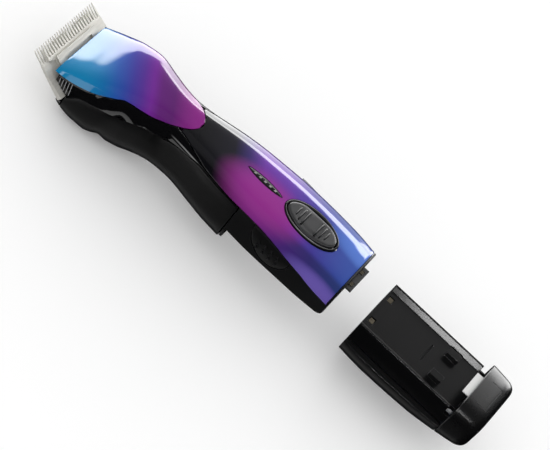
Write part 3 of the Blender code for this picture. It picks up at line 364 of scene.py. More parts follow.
class Graph:
    """Short calls for building a material's nodes."""

    def __init__(self, name):
        self.material = bpy.data.materials.new(name)
        self.material.use_nodes = True
        self.nodes = self.material.node_tree.nodes
        self.links = self.material.node_tree.links
        self.surface = self.nodes["Principled BSDF"]
        self.place = self.nodes.new("ShaderNodeTexCoord").outputs["Object"]

    def put(self, kind, **inputs):
        node = self.nodes.new(kind)
        for key, value in inputs.items():
            socket = node.inputs[key.replace("_", " ")]
            if isinstance(value, bpy.types.NodeSocket):
                self.links.new(value, socket)
            else:
                socket.default_value = value
        return node

    def scaled(self, x, y, z):
        node = self.put("ShaderNodeMapping", Vector=self.place)
        node.inputs["Scale"].default_value = (x, y, z)
        return node.outputs["Vector"]

    def noise(self, scale, detail=4.0, vector=None):
        return self.put("ShaderNodeTexNoise", Vector=vector or self.place, Scale=scale, Detail=detail).outputs["Fac"]

    def spread(self, value, low, high):
        node = self.put("ShaderNodeMapRange", Value=value)
        node.inputs["To Min"].default_value = low
        node.inputs["To Max"].default_value = high
        return node.outputs["Result"]

    def mix(self, factor, a, b):
        node = self.nodes.new("ShaderNodeMix")
        node.data_type = "RGBA"
        for socket, value in ((node.inputs["Factor"], factor), (node.inputs[6], a), (node.inputs[7], b)):
            if isinstance(value, bpy.types.NodeSocket):
                self.links.new(value, socket)
            else:
                socket.default_value = value
        return node.outputs[2]

    def ramp(self, value, stops):
        node = self.put("ShaderNodeValToRGB", Fac=value)
        band = node.color_ramp
        while len(band.elements) < len(stops):
            band.elements.new(0.5)
        for element, (at, shade) in zip(band.elements, stops):
            element.position = at
            element.color = shade
        return node.outputs["Color"]

    def calc(self, operation, *values):
        node = self.nodes.new("ShaderNodeMath")
        node.operation = operation
        for socket, value in zip(node.inputs, values):
            if isinstance(value, bpy.types.NodeSocket):
                self.links.new(value, socket)
            else:
                socket.default_value = value
        return node.outputs[0]

    def window(self, value, start, end):
        """Rises smoothly from 0 at start to 1 at end."""
        node = self.put("ShaderNodeMapRange", Value=value)
        node.interpolation_type = "SMOOTHSTEP"
        if start > end:
            node.inputs["To Min"].default_value, node.inputs["To Max"].default_value = 1.0, 0.0
            start, end = end, start
        node.inputs["From Min"].default_value = start
        node.inputs["From Max"].default_value = end
        return node.outputs["Result"]

    def dimmed(self, shade, factor):
        node = self.nodes.new("ShaderNodeVectorMath")
        node.operation = "SCALE"
        self.links.new(shade, node.inputs[0])
        if isinstance(factor, bpy.types.NodeSocket):
            self.links.new(factor, node.inputs["Scale"])
        else:
            node.inputs["Scale"].default_value = factor
        return node.outputs[0]

    def edge(self, radius_mm):
        """1 on convex and concave edges, 0 on open faces."""
        rounded = self.nodes.new("ShaderNodeBevel")
        rounded.samples = 4
        rounded.inputs["Radius"].default_value = radius_mm * MM
        flat = self.nodes.new("ShaderNodeNewGeometry").outputs["Normal"]
        node = self.put("ShaderNodeVectorMath")
        node.operation = "DOT_PRODUCT"
        self.links.new(rounded.outputs["Normal"], node.inputs[0])
        self.links.new(flat, node.inputs[1])
        return self.window(node.outputs["Value"], 0.995, 0.9)

    def bump(self, height, strength, distance_mm):
        node = self.put("ShaderNodeBump", Height=height, Strength=strength, Distance=distance_mm * MM)
        self.links.new(node.outputs["Normal"], self.surface.inputs["Normal"])

    def set(self, **inputs):
        for key, value in inputs.items():
            socket = self.surface.inputs[key.replace("_", " ")]
            if isinstance(value, bpy.types.NodeSocket):
                self.links.new(value, socket)
            else:
                socket.default_value = value
        return self


def lacquer(name, stops, start_x, end_x, lean, patches=(), flank=None):
    """Clear-coated paint whose hue runs along the handle. lean tilts the run across it.

    patches are (colour, x, y, half length, half width) of soft pools of another hue, some of them painted
    reflections; flank is (y, end y, dimming) for the shaded left side, a painted shade.
    """
    g = Graph(name)
    split = g.put("ShaderNodeSeparateXYZ", Vector=g.place)
    along, across = split.outputs["X"], split.outputs["Y"]
    wander = g.spread(g.noise(40.0, 2.0), -0.001, 0.001)
    place = g.calc("ADD", g.calc("MULTIPLY_ADD", across, lean, along), wander)
    run = g.window(place, (start_x - REST_PAD.x) * MM, (end_x - REST_PAD.x) * MM)
    hue = g.ramp(run, stops)
    if flank:
        # Painted shade: the hue is dimmed towards the left edge.
        start_y, end_y, shade = flank
        hue = g.mix(g.window(across, start_y * MM, end_y * MM), hue, g.dimmed(hue, shade))
    # Soft pools of another hue; on the cover one of them is a painted reflection.
    for tint, x, y, half_x, half_y in patches:
        off_x = g.calc("MULTIPLY_ADD", along, 1 / (half_x * MM), -(x - REST_PAD.x) / half_x)
        off_y = g.calc("MULTIPLY_ADD", across, 1 / (half_y * MM), -y / half_y)
        square = g.calc("MULTIPLY_ADD", off_x, off_x, g.calc("MULTIPLY", off_y, off_y))
        hue = g.mix(g.window(square, 1.3, 0.0), hue, tint)
    flake = g.spread(g.noise(9000.0, 2.0), 0.88, 1.12)
    g.set(Base_Color=g.dimmed(hue, flake), Metallic=0.08, Roughness=g.spread(g.noise(700.0), 0.26, 0.34))
    g.set(Specular_IOR_Level=0.1, Coat_Weight=1.0, Coat_Roughness=0.02, Coat_IOR=1.55)
    g.bump(g.noise(220.0, 1.0), 0.01, 0.02)
    return g.material


def plastic(name, shade, rough, grain_scale, grain, edge_highlight=None, coat=0.0, sheen=0.35):
    """Moulded plastic or rubber with grain, slight mottling and paler edges that are a painted edge highlight."""
    g = Graph(name)
    dark = tuple(c * 0.75 for c in shade[:3]) + (1.0,)
    base = g.mix(g.noise(60.0, 3.0), dark, shade)
    # Painted highlight: edges are mixed towards a paler colour.
    if edge_highlight:
        base = g.mix(g.edge(0.25), base, edge_highlight)
    g.set(Base_Color=base, Roughness=g.spread(g.noise(180.0, 3.0), rough * 0.95, rough * 1.05))
    g.set(Coat_Weight=coat, Coat_Roughness=0.03, Specular_IOR_Level=0.1 if coat else sheen)
    g.bump(g.noise(grain_scale, 3.0), grain, 0.05)
    return g.material


def steel(name, shade, rough, brush=(1.0, 1.0, 1.0), grain=0.05, metal=0.6):
    """Ground steel with fine lines in the brushing direction."""
    g = Graph(name)
    lines = g.noise(900.0, 3.0, g.scaled(*brush))
    dark = tuple(c * 0.7 for c in shade[:3]) + (1.0,)
    g.set(Base_Color=g.mix(lines, dark, shade), Metallic=metal, Roughness=g.spread(lines, rough * 0.8, rough * 1.25))
    g.bump(lines, grain, 0.03)
    return g.material


def smoked(name):
    g = Graph(name)
    g.set(Base_Color=g.mix(g.noise(90.0), (0.004, 0.004, 0.005, 1), (0.012, 0.012, 0.014, 1)))
    g.set(Roughness=g.spread(g.noise(300.0), 0.2, 0.3), Specular_IOR_Level=0.3)
    return g.material


def board(name):
    g = Graph(name)
    tracks = g.put("ShaderNodeTexBrick", Vector=g.scaled(1, 1, 1), Scale=420.0)
    tracks.inputs["Color1"].default_value = (0.02, 0.16, 0.07, 1)
    tracks.inputs["Color2"].default_value = (0.03, 0.22, 0.10, 1)
    tracks.inputs["Mortar"].default_value = (0.10, 0.32, 0.16, 1)
    g.set(Base_Color=tracks.outputs["Color"], Roughness=g.spread(g.noise(300.0), 0.35, 0.5))
    return g.material


CAP_STOPS = (
    (0.0, colour(18, 126, 176)),
    (0.08, colour(20, 106, 168)),
    (0.17, colour(36, 84, 165)),
    (0.25, colour(46, 70, 160)),
    (0.34, colour(64, 56, 152)),
    (0.45, colour(84, 46, 146)),
    (0.57, colour(112, 38, 146)),
    (0.68, colour(96, 30, 116)),
    (0.82, colour(92, 28, 108)),
    (1.0, colour(134, 32, 128)),
)
COVER_STOPS = (
    (0.0, colour(22, 22, 25)),
    (0.13, colour(28, 27, 38)),
    (0.23, colour(56, 42, 104)),
    (0.36, colour(104, 52, 156)),
    (0.58, colour(98, 54, 158)),
    (0.80, colour(66, 56, 148)),
    (1.0, colour(48, 76, 156)),
)
# Cover pools: magenta paint left of the middle, a painted reflection as a lighter violet band along the lower
# left edge near the rear, and a paler blue pool on the right at the rear.
COVER_POOLS_AND_REFLECTION = (
    (colour(146, 44, 138), 137, -8.5, 29, 15.5),
    (colour(104, 86, 170), 188, -22.5, 26, 4.6),
    (colour(76, 112, 194), 194, 8, 24, 7),
)

LOOKS = {
    "cap_violet": lacquer("cap_violet_look", CAP_STOPS, 14, 90, 0.6),
    # The cover's last argument is the painted shade on its left side.
    "cover_violet": lacquer("cover_violet_look", COVER_STOPS, 84, 198, 0.55, COVER_POOLS_AND_REFLECTION, (-11.5, -15.5, 0.5)),
    "gloss_black": plastic("gloss_black_look", (0.0035, 0.0035, 0.004, 1), 0.08, 400.0, 0.01, coat=1.0),
    "soft_black": plastic("soft_black_look", (0.006, 0.006, 0.0065, 1), 0.38, 2600.0, 0.08, sheen=0.8),
    # The satin and switch looks carry a paler colour for a painted edge highlight.
    "satin_black": plastic("satin_black_look", (0.007, 0.007, 0.0075, 1), 0.3, 2200.0, 0.05, (0.03, 0.03, 0.032, 1)),
    "switch_grey": plastic("switch_grey_look", (0.035, 0.035, 0.037, 1), 0.3, 1800.0, 0.06, (0.3, 0.3, 0.3, 1)),
    "blade_steel": steel("blade_steel_look", (0.86, 0.84, 0.78, 1), 0.3, (1.0, 0.06, 1.0), metal=0.4),
    "bright_steel": steel("bright_steel_look", (0.72, 0.72, 0.73, 1), 0.2, (0.1, 1.0, 1.0), 0.02),
    # Brass darkened to near black: painted shade on the battery contacts.
    "brass": steel("shaded_brass_look", (0.05, 0.042, 0.028, 1), 0.35, (0.1, 1.0, 1.0), metal=0.8),
    "copper": steel("copper_look", (0.72, 0.36, 0.2, 1), 0.35, (0.15, 1.0, 1.0)),
    "white_plastic": plastic("white_plastic_look", (0.8, 0.8, 0.79, 1), 0.3, 1500.0, 0.04),
    "nylon": plastic("nylon_look", (0.74, 0.72, 0.64, 1), 0.45, 1500.0, 0.05),
    "board_green": board("board_green_look"),
    "smoke": smoked("smoke_look"),
    "cell_wrap": plastic("cell_wrap_look", (0.02, 0.035, 0.06, 1), 0.3, 900.0, 0.04),
    "magnet_grey": plastic("magnet_grey_look", (0.1, 0.1, 0.105, 1), 0.5, 1400.0, 0.1),
}


def dress_nodes():
    """Every CAD node gets its slot's material, except the tension spring, which gets the blade steel; hard ones get
    rounded edges.
    """
    slots = {row["node"]: row["material_slot"] for row in frame["record"]["subparts"]}
    for name, node in frame["nodes"].items():
        node.data.materials.clear()
        node.data.materials.append(LOOKS["blade_steel" if name == "tension_spring" else slots[name]])
        node.data.shade_smooth()
        node.data.set_sharp_from_angle(angle=math.radians(35))
        soften(node, 0.12)


# ---------------------------------------------------------------- shells


RIDGE_ROUND = 1.2


def cap_surface(x, angle, inset=0.0):
    """The skin with a flat strip between the cap's ridge line and its edge."""
    ridge = smooth(x, CAP_RIDGE)
    edge = cap_edge(x)
    turned = abs(angle)
    if x > CAP_RIDGE_END_X or turned <= ridge or edge - ridge < 0.5:
        return skin(x, angle, inset)
    side = 1 if angle > 0 else -1
    share = min(1.0, (turned - ridge) / (edge - ridge))
    return skin(x, side * ridge, inset).lerp(skin(x, side * edge, inset), share)


def cap_ring(x, lift):
    edge, under = cap_edge(x, -GAP / 2), cap_edge(x, -GAP / 2, COVER_WALL)
    ridge = min(smooth(x, CAP_RIDGE), edge - 1.0)
    radius = 0.35
    roll = rolled(x, -edge, edge, radius, lift, 3, cap_surface)
    crown = [(ridge - 0.5) * (1 - 2 * i / 40) for i in range(41)]
    facet = [ridge + 0.5 + (edge - ridge - 1.5) * share for share in (0.0, 0.08, 0.2, 0.6)]
    middle = [-a for a in reversed(facet)] + crown[::-1] + facet
    outer = roll[:3] + [cap_surface(x, a, lift) for a in middle] + roll[-3:]
    return outer + arc(x, under, -under, COVER_WALL, 31)


def build_cap():
    rings = [cap_ring(x, lift) for x, lift in ends(14.0, 88.2, 1.1, 0.45)]
    loft("cap_shell", rings, LOOKS["cap_violet"], replaced=["drive_cap"], sharp=50)


def cap_tip_tool(clearance):
    right = [(x, smooth(x, CAP_EDGE_HALF_WIDTH) + clearance) for x in span(70, 88, 0.6)]
    outline = right + [(CAP_TIP_X + clearance, 0.0)] + [(x, -y) for x, y in reversed(right)]
    return tool(along_z(outline, 5, 30))


def build_cover():
    rings = []
    for x, lift in ends(COVER_FRONT_X, COVER_REAR_X, 1.3, 0.5):
        edge, under = cover_edge(x, -GAP / 2), cover_edge(x, -GAP / 2, COVER_WALL)
        rings.append(rolled(x, -edge, edge, 0.45, lift, 61) + arc(x, under, -under, COVER_WALL, 31))
    cover = loft("cover_shell", rings, LOOKS["cover_violet"], replaced=["handle_cover"])
    bezel_hole = ellipse((SWITCH_X, 0), (BEZEL_HALF[0] + GAP, BEZEL_HALF[1] + GAP), 64)
    lens_hole = leaf((LENS_X, 0), (LENS_HALF[0] + 2 * GAP, LENS_HALF[1] + GAP), 24)
    tools = [cap_tip_tool(0.6), tool(along_z(bezel_hole, 10, 30)), tool(along_z(lens_hole, 10, 30))]
    carve(cover, "DIFFERENCE", *tools)


def pocket_tool():
    outline = [blade(-12, 0.45), blade(29.6, 0.45), (25.7, -16.9), (23.5, -20.0), (23.0, -21.5), (-12, -22.5)]
    return tool(along_y(outline, -32, 32))


def vent_ribs():
    """Five upright ribs on each cheek, behind the blade."""
    sets = []
    for side in (-1, 1):
        for i in range(5):
            x = 18.6 + 1.75 * i
            top, low = -5.2 + 0.75 * i, -13.4 + 0.5 * i
            rings = []
            for z in span(top, low, 0.8):
                y = abs(skin(x, height_angle(x, z)).y)
                rise = 0.35 * min(1.0, 4 * min(top - z, z - low) / (top - low) + 0.15)
                section = [(-0.34, -0.4), (-0.2, rise * 0.8), (0.0, rise), (0.2, rise * 0.8), (0.34, -0.4)]
                lean = (top - z) * 0.12
                rings.append([(x + lean + dx, side * (y + dy), z) for dx, dy in section])
            sets.append(rings)
    # The ribs use a pale grey look: a painted highlight on ribs of the cheeks' black plastic.
    lofts("vent_ribs", sets, LOOKS["vent_rib"])


def build_upper_housing():
    step = COVER_WALL + SEAT_GAP
    wall = step + SHELL_WALL
    rings = []
    for x in span(16.8, FRONT_BODY_REAR_X, 1.2):
        relief = 1.5 * GAP if x > COVER_FRONT_X else GAP / 2
        edge, seat = top_edge(x, GAP / 2), top_edge(x, relief, step)
        low, inner = grip_edge(x, -GAP / 2), grip_edge(x, -GAP / 2, wall)
        left = rolled(x, -low, -edge, 0.2, 0.0, 14)
        right = rolled(x, edge, low, 0.2, 0.0, 14)
        rings.append(left + arc(x, -seat, seat, step, 21) + right + arc(x, inner, -inner, wall, 31))
    housing = loft("housing_cheeks", rings, LOOKS["gloss_black"], replaced=["upper_housing"])
    opening = [(8, -14.6), (46, -14.6), (66.1, -9.6), (66.1, 9.6), (46, 14.6), (8, 14.6)]
    lamp_window = tool(box_rings((117, 132), (-3.2, 3.2), (12, 30)))
    carve(housing, "DIFFERENCE", pocket_tool(), tool(along_z(opening, -7.3, 30)), lamp_window)


def build_lower_housing():
    step = GRIP_WALL + GAP
    wall = step + SHELL_WALL
    rings = []
    stations = [(x, 0.0) for x in (CHIN_FRONT_X, 22.6, 23.4, 24.2, 25.0)]
    stations += [(x, step) for x in (25.2, *span(28.5, FRONT_BODY_REAR_X, 2.6))]
    for x, inset in stations:
        edge, inner = grip_edge(x, GAP / 2, inset), grip_edge(x, GAP / 2, wall)
        rings.append(arc(x, edge, 360 - edge, inset, 61) + arc(x, 360 - inner, inner, wall, 41))
    tub = loft("housing_tub", rings, LOOKS["gloss_black"], replaced=["lower_housing"])
    carve(tub, "UNION", tool(box_rings((28.6, 38), (-13, 13), (-27, -25.2))))
    carve(tub, "DIFFERENCE", pocket_tool())


def pad_outline(offset):
    half = ((29, 9.0), (34, 12.5), (42, 14.0), (52, 13.6), (62, 12.0), (70, 9.0))
    right = [(x, smooth(x, half) + offset) for x in span(29, 70, 1.6)]
    front, rear = (27.5 - offset, 0.0), (74.0 + offset, 0.0)
    return [front] + right + [rear] + [(x, -y) for x, y in reversed(right)]


def grip_rings():
    rings = []
    for x, lift in ends(GRIP_FRONT_X, FRONT_BODY_REAR_X, 1.2, 0.5):
        edge, inner = grip_edge(x, GAP / 2), grip_edge(x, GAP / 2, GRIP_WALL)
        rings.append(rolled(x, edge, 360 - edge, 0.5, lift, 81) + arc(x, 360 - inner, inner, GRIP_WALL, 41))
    return rings


def build_grip():
    grip = loft("grip_sleeve", grip_rings(), LOOKS["soft_black"], replaced=["soft_grip"])
    carve(grip, "DIFFERENCE", pocket_tool(), tool(along_z(pad_outline(GAP), -40, -16)))
    pad = loft("finger_pad", grip_rings(), LOOKS["soft_black"], replaced=["finger_rest"])
    carve(pad, "INTERSECT", tool(along_z(pad_outline(0.0), -40, -15)))
    carve(pad, "DIFFERENCE", tool(box_rings((20, 60), (-20, 20), (-40, REST_PAD.z))))


def channel_outline(grow):
    half = TRAY_HALF_WIDTH
    right = [
        (half + grow, -5.0),
        (half + grow, 8.6 + grow),
        (half - 1.2, RAIL_TOP + grow),
        (half - 2.2 - grow, RAIL_TOP + grow),
        (half - 4.6 - grow, TRAY_TOP + grow),
    ]
    return right + [(-y, z) for y, z in reversed(right)]


def button_outline(along, below, above, count):
    middle = (BUTTON_START_X + BUTTON_END_X) / 2
    half = (BUTTON_END_X - BUTTON_START_X) / 2
    grown = (half + along) / half
    upper = []
    for i in range(count + 1):
        x = BUTTON_END_X - 2 * half * i / count
        upper.append((middle + (x - middle) * grown, smooth(x, COVER_EDGE_HEIGHT) - GAP + above))
    lower = []
    for x in span(BUTTON_LOWER_EDGE[0][0], BUTTON_LOWER_EDGE[-1][0], 2 * half / count):
        lower.append((middle + (x - middle) * grown, smooth(x, BUTTON_LOWER_EDGE) - below))
    return upper + lower


def build_bay():
    rings = []
    for x in (*span(BAY_FRONT_X, 192.5, 1.4), 193, 194, 195, 195.8, 195.9, 196.3, BAY_REAR_X - 0.4, BAY_REAR_X):
        step = COVER_WALL + GAP if x < 195.85 else (0.4 if x == BAY_REAR_X else 0.05)
        rim = 0.4 if x == BAY_REAR_X else 0.0
        edge, seat = cover_edge(x, GAP / 2), cover_edge(x, GAP / 2, step)
        turn = max(0.0, (x - 193.0) / (BAY_REAR_X - 193.0))
        low = height_angle(x, SEAM_HEIGHT + 3.2 * (1 - math.sqrt(1 - turn * turn)))
        left, right = arc(x, -low, -edge, rim, 18), arc(x, edge, low, rim, 18)
        rings.append(left + arc(x, -seat, seat, step, 31) + right)
    bay = loft("bay_frame", rings, LOOKS["satin_black"], replaced=["battery_bay"])
    bulkhead = []
    for x in (BAY_FRONT_X, BATTERY_FRONT_X - 0.4):
        low = height_angle(x, SEAM_HEIGHT + 3)
        bulkhead.append(arc(x, low, 360 - low, 0.05, 61))
    carve(bay, "UNION", tool(bulkhead))
    tools = [
        tool(along_x(channel_outline(GAP), BATTERY_FRONT_X - 0.4, 198.0)),
        tool(box_rings((133.5, 190.5), (-13.9, 13.9), (10.0, 30))),
        tool(box_rings((130, 134), (-3.4, 3.4), (13.9, 30))),
        tool(box_rings((190, 199), (-9.2, 9.2), (11.6, 15.5))),
    ]
    for side in (-1, 1):
        tools.append(tool(box_rings((173.5, 199), sorted((side * 6.0, side * 11.0)), (5, 11.9))))
        tools.append(tool(along_y(button_outline(GAP, GAP, 1.0, 30), side * 19.0, side * 26.0)))
        tools.append(tool(along_y(button_outline(1.5, 1.3, 1.0, 30), side * 17.5, side * 20.95)))
    carve(bay, "DIFFERENCE", *tools)


def build_release_button(side, word):
    """Face crowned towards its middle, with upright wavy ribs."""
    levels = ((19.9, 0.0), (21.9, 0.0), (22.2, -0.1), (22.4, -0.35), (22.5, -0.8))
    rings = []
    for y, shrink in levels:
        outline = button_outline(shrink, shrink, shrink, 30)
        rings.append([(x, side * y, z) for x, z in outline])
    face = loft(f"release_face_{word}", rings, LOOKS["soft_black"], f"release_{word}", [f"release_button_{word}"])
    lip = [[(x, side * y, z) for x, z in button_outline(1.2, 1.0, 0, 30)] for y in (19.95, 20.65)]
    sets = [lip]
    for i in range(4):
        x = 149.8 + 4.2 * i
        rings = []
        for z in span(3.4, 11.2, 0.5):
            shift = 0.7 * math.sin((z - 3.4) * 1.6)
            fade = min(1.0, 0.3 + min(z - 3.4, 11.2 - z))
            section = [(-0.5, 22.5), (-0.3, 22.85 + 0.3 * fade), (0.3, 22.85 + 0.3 * fade), (0.5, 22.5)]
            rings.append([(x + shift + dx, side * y, z) for dx, y in section])
        sets.append(rings)
    lofts(f"release_ribs_{word}", sets, LOOKS["satin_black"], f"release_{word}")
    return face


# ---------------------------------------------------------------- blades


def toothed_outline(width, teeth, tip_u, root_u, rear_u, shoulder=None):
    """Tapered, pointed teeth at the front and a plain plate behind them, in U and Y."""
    pitch = width / teeth
    outline = []
    for i in range(teeth):
        centre = (i + 0.5) * pitch - width / 2
        profile = ((root_u, 0.31), (tip_u + 2.2, 0.25), (tip_u + 0.6, 0.17), (tip_u, 0.08))
        outline += [(u, centre - share * pitch) for u, share in profile]
        outline += [(u, centre + share * pitch) for u, share in reversed(profile)]
    edge = width / 2
    back = shoulder if shoulder else edge
    outline += [(root_u + 1.5, edge), (root_u + 3.0, back), (rear_u, back)]
    outline += [(rear_u, -back), (root_u + 3.0, -back), (root_u + 1.5, -edge)]
    return outline


def blade_plate(name, outline, low, high, body, replaced):
    """A plate on the tilted blade plane; low and high give its two faces' V for each U."""
    rings = []
    for level in (low, high):
        ring = []
        for u, y in outline:
            x, z = blade(u, level(u))
            ring.append((x, y, z))
        rings.append(ring)
    return soften(loft(name, rings, LOOKS["blade_steel"], body, replaced), 0.1, 2)


def blade_box(u, y, v):
    corners = [blade(a, b) for a, b in ((u[0], v[0]), (u[1], v[0]), (u[1], v[1]), (u[0], v[1]))]
    return tool(along_y(corners, *y))


def build_blades():
    comb = toothed_outline(50.0, 27, 0.0, 8.5, 29.0)
    blade_plate("comb_teeth", comb, lambda u: -0.4 - 0.1 * u, lambda u: -0.02, "blade_set", ["comb_blade"])
    outline = toothed_outline(41.0, 20, 2.4, 7.5, 20.5, 16.0)
    cutter = blade_plate("cutter_teeth", outline, lambda u: 0.03, lambda u: 0.9 + 0.06 * u, "cutter", ["cutter_blade"])
    cutter.modifiers.clear()
    carve(cutter, "UNION", blade_box((15.5, 20.4), (-5.5, 5.5), (1.2, 4.4)))
    carve(cutter, "DIFFERENCE", blade_box((15.0, 21.0), (-2.35, 2.35), (2.4, 6.0)))
    soften(cutter, 0.1, 2)


# ---------------------------------------------------------------- controls


def build_switch():
    rocker_half = (SWITCH_HALF[0], 7.3)
    rings = []
    profile = (
        (15.6, 0.0, 0), (19.7, 0.0, 0), (20.05, 0.12, 0), (20.25, 0.35, 0), (20.3, 0.7, 0), (20.15, 0.25, 1),
        (19.9, 0.05, 1), (19.2, 0.0, 1), (15.6, 0.0, 1),
    )
    inner = (rocker_half[0] + 0.6, rocker_half[1] + 0.5)
    for z, shrink, side in profile:
        half = (BEZEL_HALF[0] - shrink, BEZEL_HALF[1] - shrink)
        if side:
            half = (inner[0] + shrink, inner[1] + shrink)
        rings.append([(x, y, z) for x, y in ellipse((SWITCH_X, 0), half, 72)])
    points = [p for ring in rings for p in ring]
    count = 72
    faces = []
    for r in range(len(rings)):
        after = (r + 1) % len(rings)
        for i in range(count):
            j = (i + 1) % count
            faces.append((r * count + i, r * count + j, after * count + j, after * count + i))
    piece("bezel_ring", points, faces, LOOKS["satin_black"], replaced=["switch_bezel"])
    rings = [[(x, y, 16.2) for x, y in ellipse((SWITCH_X, 0), rocker_half, 72)]]
    for drop, shrink in ((0.9, 0.0), (0.35, 0.12), (0.08, 0.45), (0.0, 0.9), (0.0, 1.8), (0.0, 3.4)):
        ring = []
        for x, y in ellipse((SWITCH_X, 0), (rocker_half[0] - shrink, rocker_half[1] - shrink), 72):
            off = (x - SWITCH_X) / SWITCH_HALF[0]
            saddle = 20.25 + 1.0 * min(1.0, abs(off) * 1.9) ** 2 - 0.45 * max(0.0, abs(off) - 0.62)
            ring.append((x, y, saddle - drop))
        rings.append(ring)
    rocker = loft("rocker", rings, LOOKS["switch_grey"], "switch", ["power_switch"])
    bore = [(SWITCH_X + 1.0 * math.cos(a), 17.0 + 1.0 * math.sin(a)) for a in [2 * math.pi * i / 24 for i in range(24)]]
    carve(rocker, "DIFFERENCE", tool(along_y(bore, -8, 8)))
    sets = []
    for end in (-1, 1):
        for i in range(3):
            x = SWITCH_X + end * (4.4 + 2.6 * i)
            reach = 5.0 - 0.75 * i
            rings = []
            for y in span(-reach, reach, 0.5):
                crown = 21.75 - 0.1 * i - 0.5 * (abs(y) / reach) ** 4
                section = [(-0.62, 20.5), (-0.42, crown - 0.2), (-0.15, crown), (0.15, crown), (0.42, crown - 0.2), (0.62, 20.5)]
                rings.append([(x + dx, y, z) for dx, z in section])
            sets.append(rings)
    lofts("rocker_ribs", sets, LOOKS["satin_black"], "switch")


def build_lens():
    rings = []
    for z, shrink in ((17.4, 0.0), (19.5, 0.0), (19.75, 0.12), (19.85, 0.4), (19.9, 0.9)):
        outline = leaf((LENS_X, 0), (LENS_HALF[0] - shrink, max(0.2, LENS_HALF[1] - shrink)), 24)
        rings.append([(x, y, z) for x, y in outline])
    loft("lens_cover", rings, LOOKS["smoke"], replaced=["indicator_lens"])
    sets = []
    for i in range(5):
        x = LENS_X - 6.8 + 3.4 * i
        outline = [(x - 0.9, -0.55), (x + 0.45, -0.55), (x + 0.9, 0.55), (x - 0.45, 0.55)]
        sets.append(along_z(outline, 19.6, 19.95))
    lofts("lens_lamps", sets, LOOKS["lamp"])


# ---------------------------------------------------------------- battery


def slid(x):
    return x + BATTERY_TRAVEL


def slid_ring(ring):
    return [(slid(x), y, z) for x, y, z in ring]


def slid_box(x, y, z):
    return tool(box_rings((slid(x[0]), slid(x[1])), sorted(y), z))


def build_battery():
    rings = []
    for x, lift in ends(BATTERY_FRONT_X, 196.9, 1.6, 0.4):
        edge = height_angle(x, SEAM_HEIGHT - GAP)
        inner = height_angle(x, SEAM_HEIGHT - GAP, SHELL_WALL)
        outer = rolled(x, edge, 360 - edge, 0.35, lift, 71)
        rings.append(slid_ring(outer + arc(x, 360 - inner, inner, SHELL_WALL, 41)))
    shell = loft("battery_hull", rings, LOOKS["satin_black"], "battery", ["battery_shell"])
    rims = []
    for side in (-1, 1):
        rings = []
        for x in span(BATTERY_FRONT_X + 0.5, 196.4, 3.0):
            reach = abs(skin(x, height_angle(x, SEAM_HEIGHT - GAP)).y) - 0.6
            section = [(TRAY_HALF_WIDTH + 0.05, -4.6), (TRAY_HALF_WIDTH + 0.05, -3.6), (reach, -3.6), (reach, -4.6)]
            rings.append([(slid(x), side * y, z) for y, z in section])
        rims.append(rings)
    lofts("battery_ledge", rims, LOOKS["satin_black"], "battery")
    holes = []
    for x in (150, 186):
        holes.append(tool(along_z(ellipse((slid(x), 0), (2.4, 2.4), 32), -25, -10)))
    carve(shell, "DIFFERENCE", *holes)
    build_tray()
    build_end_cap()
    strip = loft("tongue_strip", box_rings((slid(193.3), slid(200.8)), (-7.6, 7.6), (14.0, 15.2)), LOOKS["white_plastic"],
                 "battery", ["cap_tongue"])
    soften(strip, 0.3, 3)


def build_tray():
    outline = [(y, max(z, SEAM_HEIGHT + 0.1)) for y, z in channel_outline(0.0)]
    tray = loft("battery_deck", along_x(outline, slid(BATTERY_FRONT_X), slid(196.9)), LOOKS["deck_black"], "battery",
                ["battery_tray"])
    inner_x = BATTERY_FRONT_X + BATTERY_WALL
    carve(tray, "DIFFERENCE", slid_box((inner_x, 199), (-16.4, 16.4), (-8, 6.2)))
    wall = []
    for x in (BATTERY_FRONT_X, inner_x):
        edge = height_angle(x, SEAM_HEIGHT - GAP, 2.4)
        top = [(x, -16, -3.5), (x, -16, -2.0), (x, 16, -2.0), (x, 16, -3.5)]
        wall.append(slid_ring(arc(x, edge, 360 - edge, 2.4, 60) + top))
    pegs = [tool(wall)]
    cuts = [slid_box((167, 167.9), (-6.3, 6.3), (7.2, 9))]
    for side in (-1, 1):
        pegs.append(slid_box((175, 182.5), (side * 6.6, side * 10.6), (7.5, 11.5)))
        cuts.append(slid_box((134.4, 137.8), (side * 6.9, side * 10.9), (6.9, 9)))
        cuts.append(slid_box((193.9, 199), (side * 14.9, side * 25), (4.5, 12)))
    carve(tray, "UNION", *pegs)
    carve(tray, "DIFFERENCE", *cuts)
    soften(tray, 0.35, 3)


def lid_grooves():
    """Outline of the end cap's lid: two lines along the top joined by one across."""
    half, start, end, width, depth = 8.4, 201.5, 208.6, 0.16, 0.35

    def at(x, y):
        turn = math.asin(min(1.0, max(0.0, x - 206) / 7.5))
        inset = 4.2 * (1 - math.cos(turn)) ** 1.4
        share = abs(y) / (smooth(x, HALF_WIDTH) - inset)
        angle = math.degrees(math.asin(share ** (smooth(x, TOP_SQUARENESS) / 2)))
        return skin(x, angle, inset).z

    tools = []
    for side in (-1, 1):
        rings = []
        for x in span(start, end, 0.5):
            z, y = at(x, half), side * half
            rings.append([(slid(x), y + a, z + b) for a, b in ((-width, 1), (width, 1), (width, -depth), (-width, -depth))])
        tools.append(tool(rings))
    rings = []
    for y in span(-half - width, half + width, 0.6):
        z = at(end, y)
        rings.append([(slid(end) + a, y, z + b) for a, b in ((-width, 1), (width, 1), (width, -depth), (-width, -depth))])
    return tools + [tool(rings)]


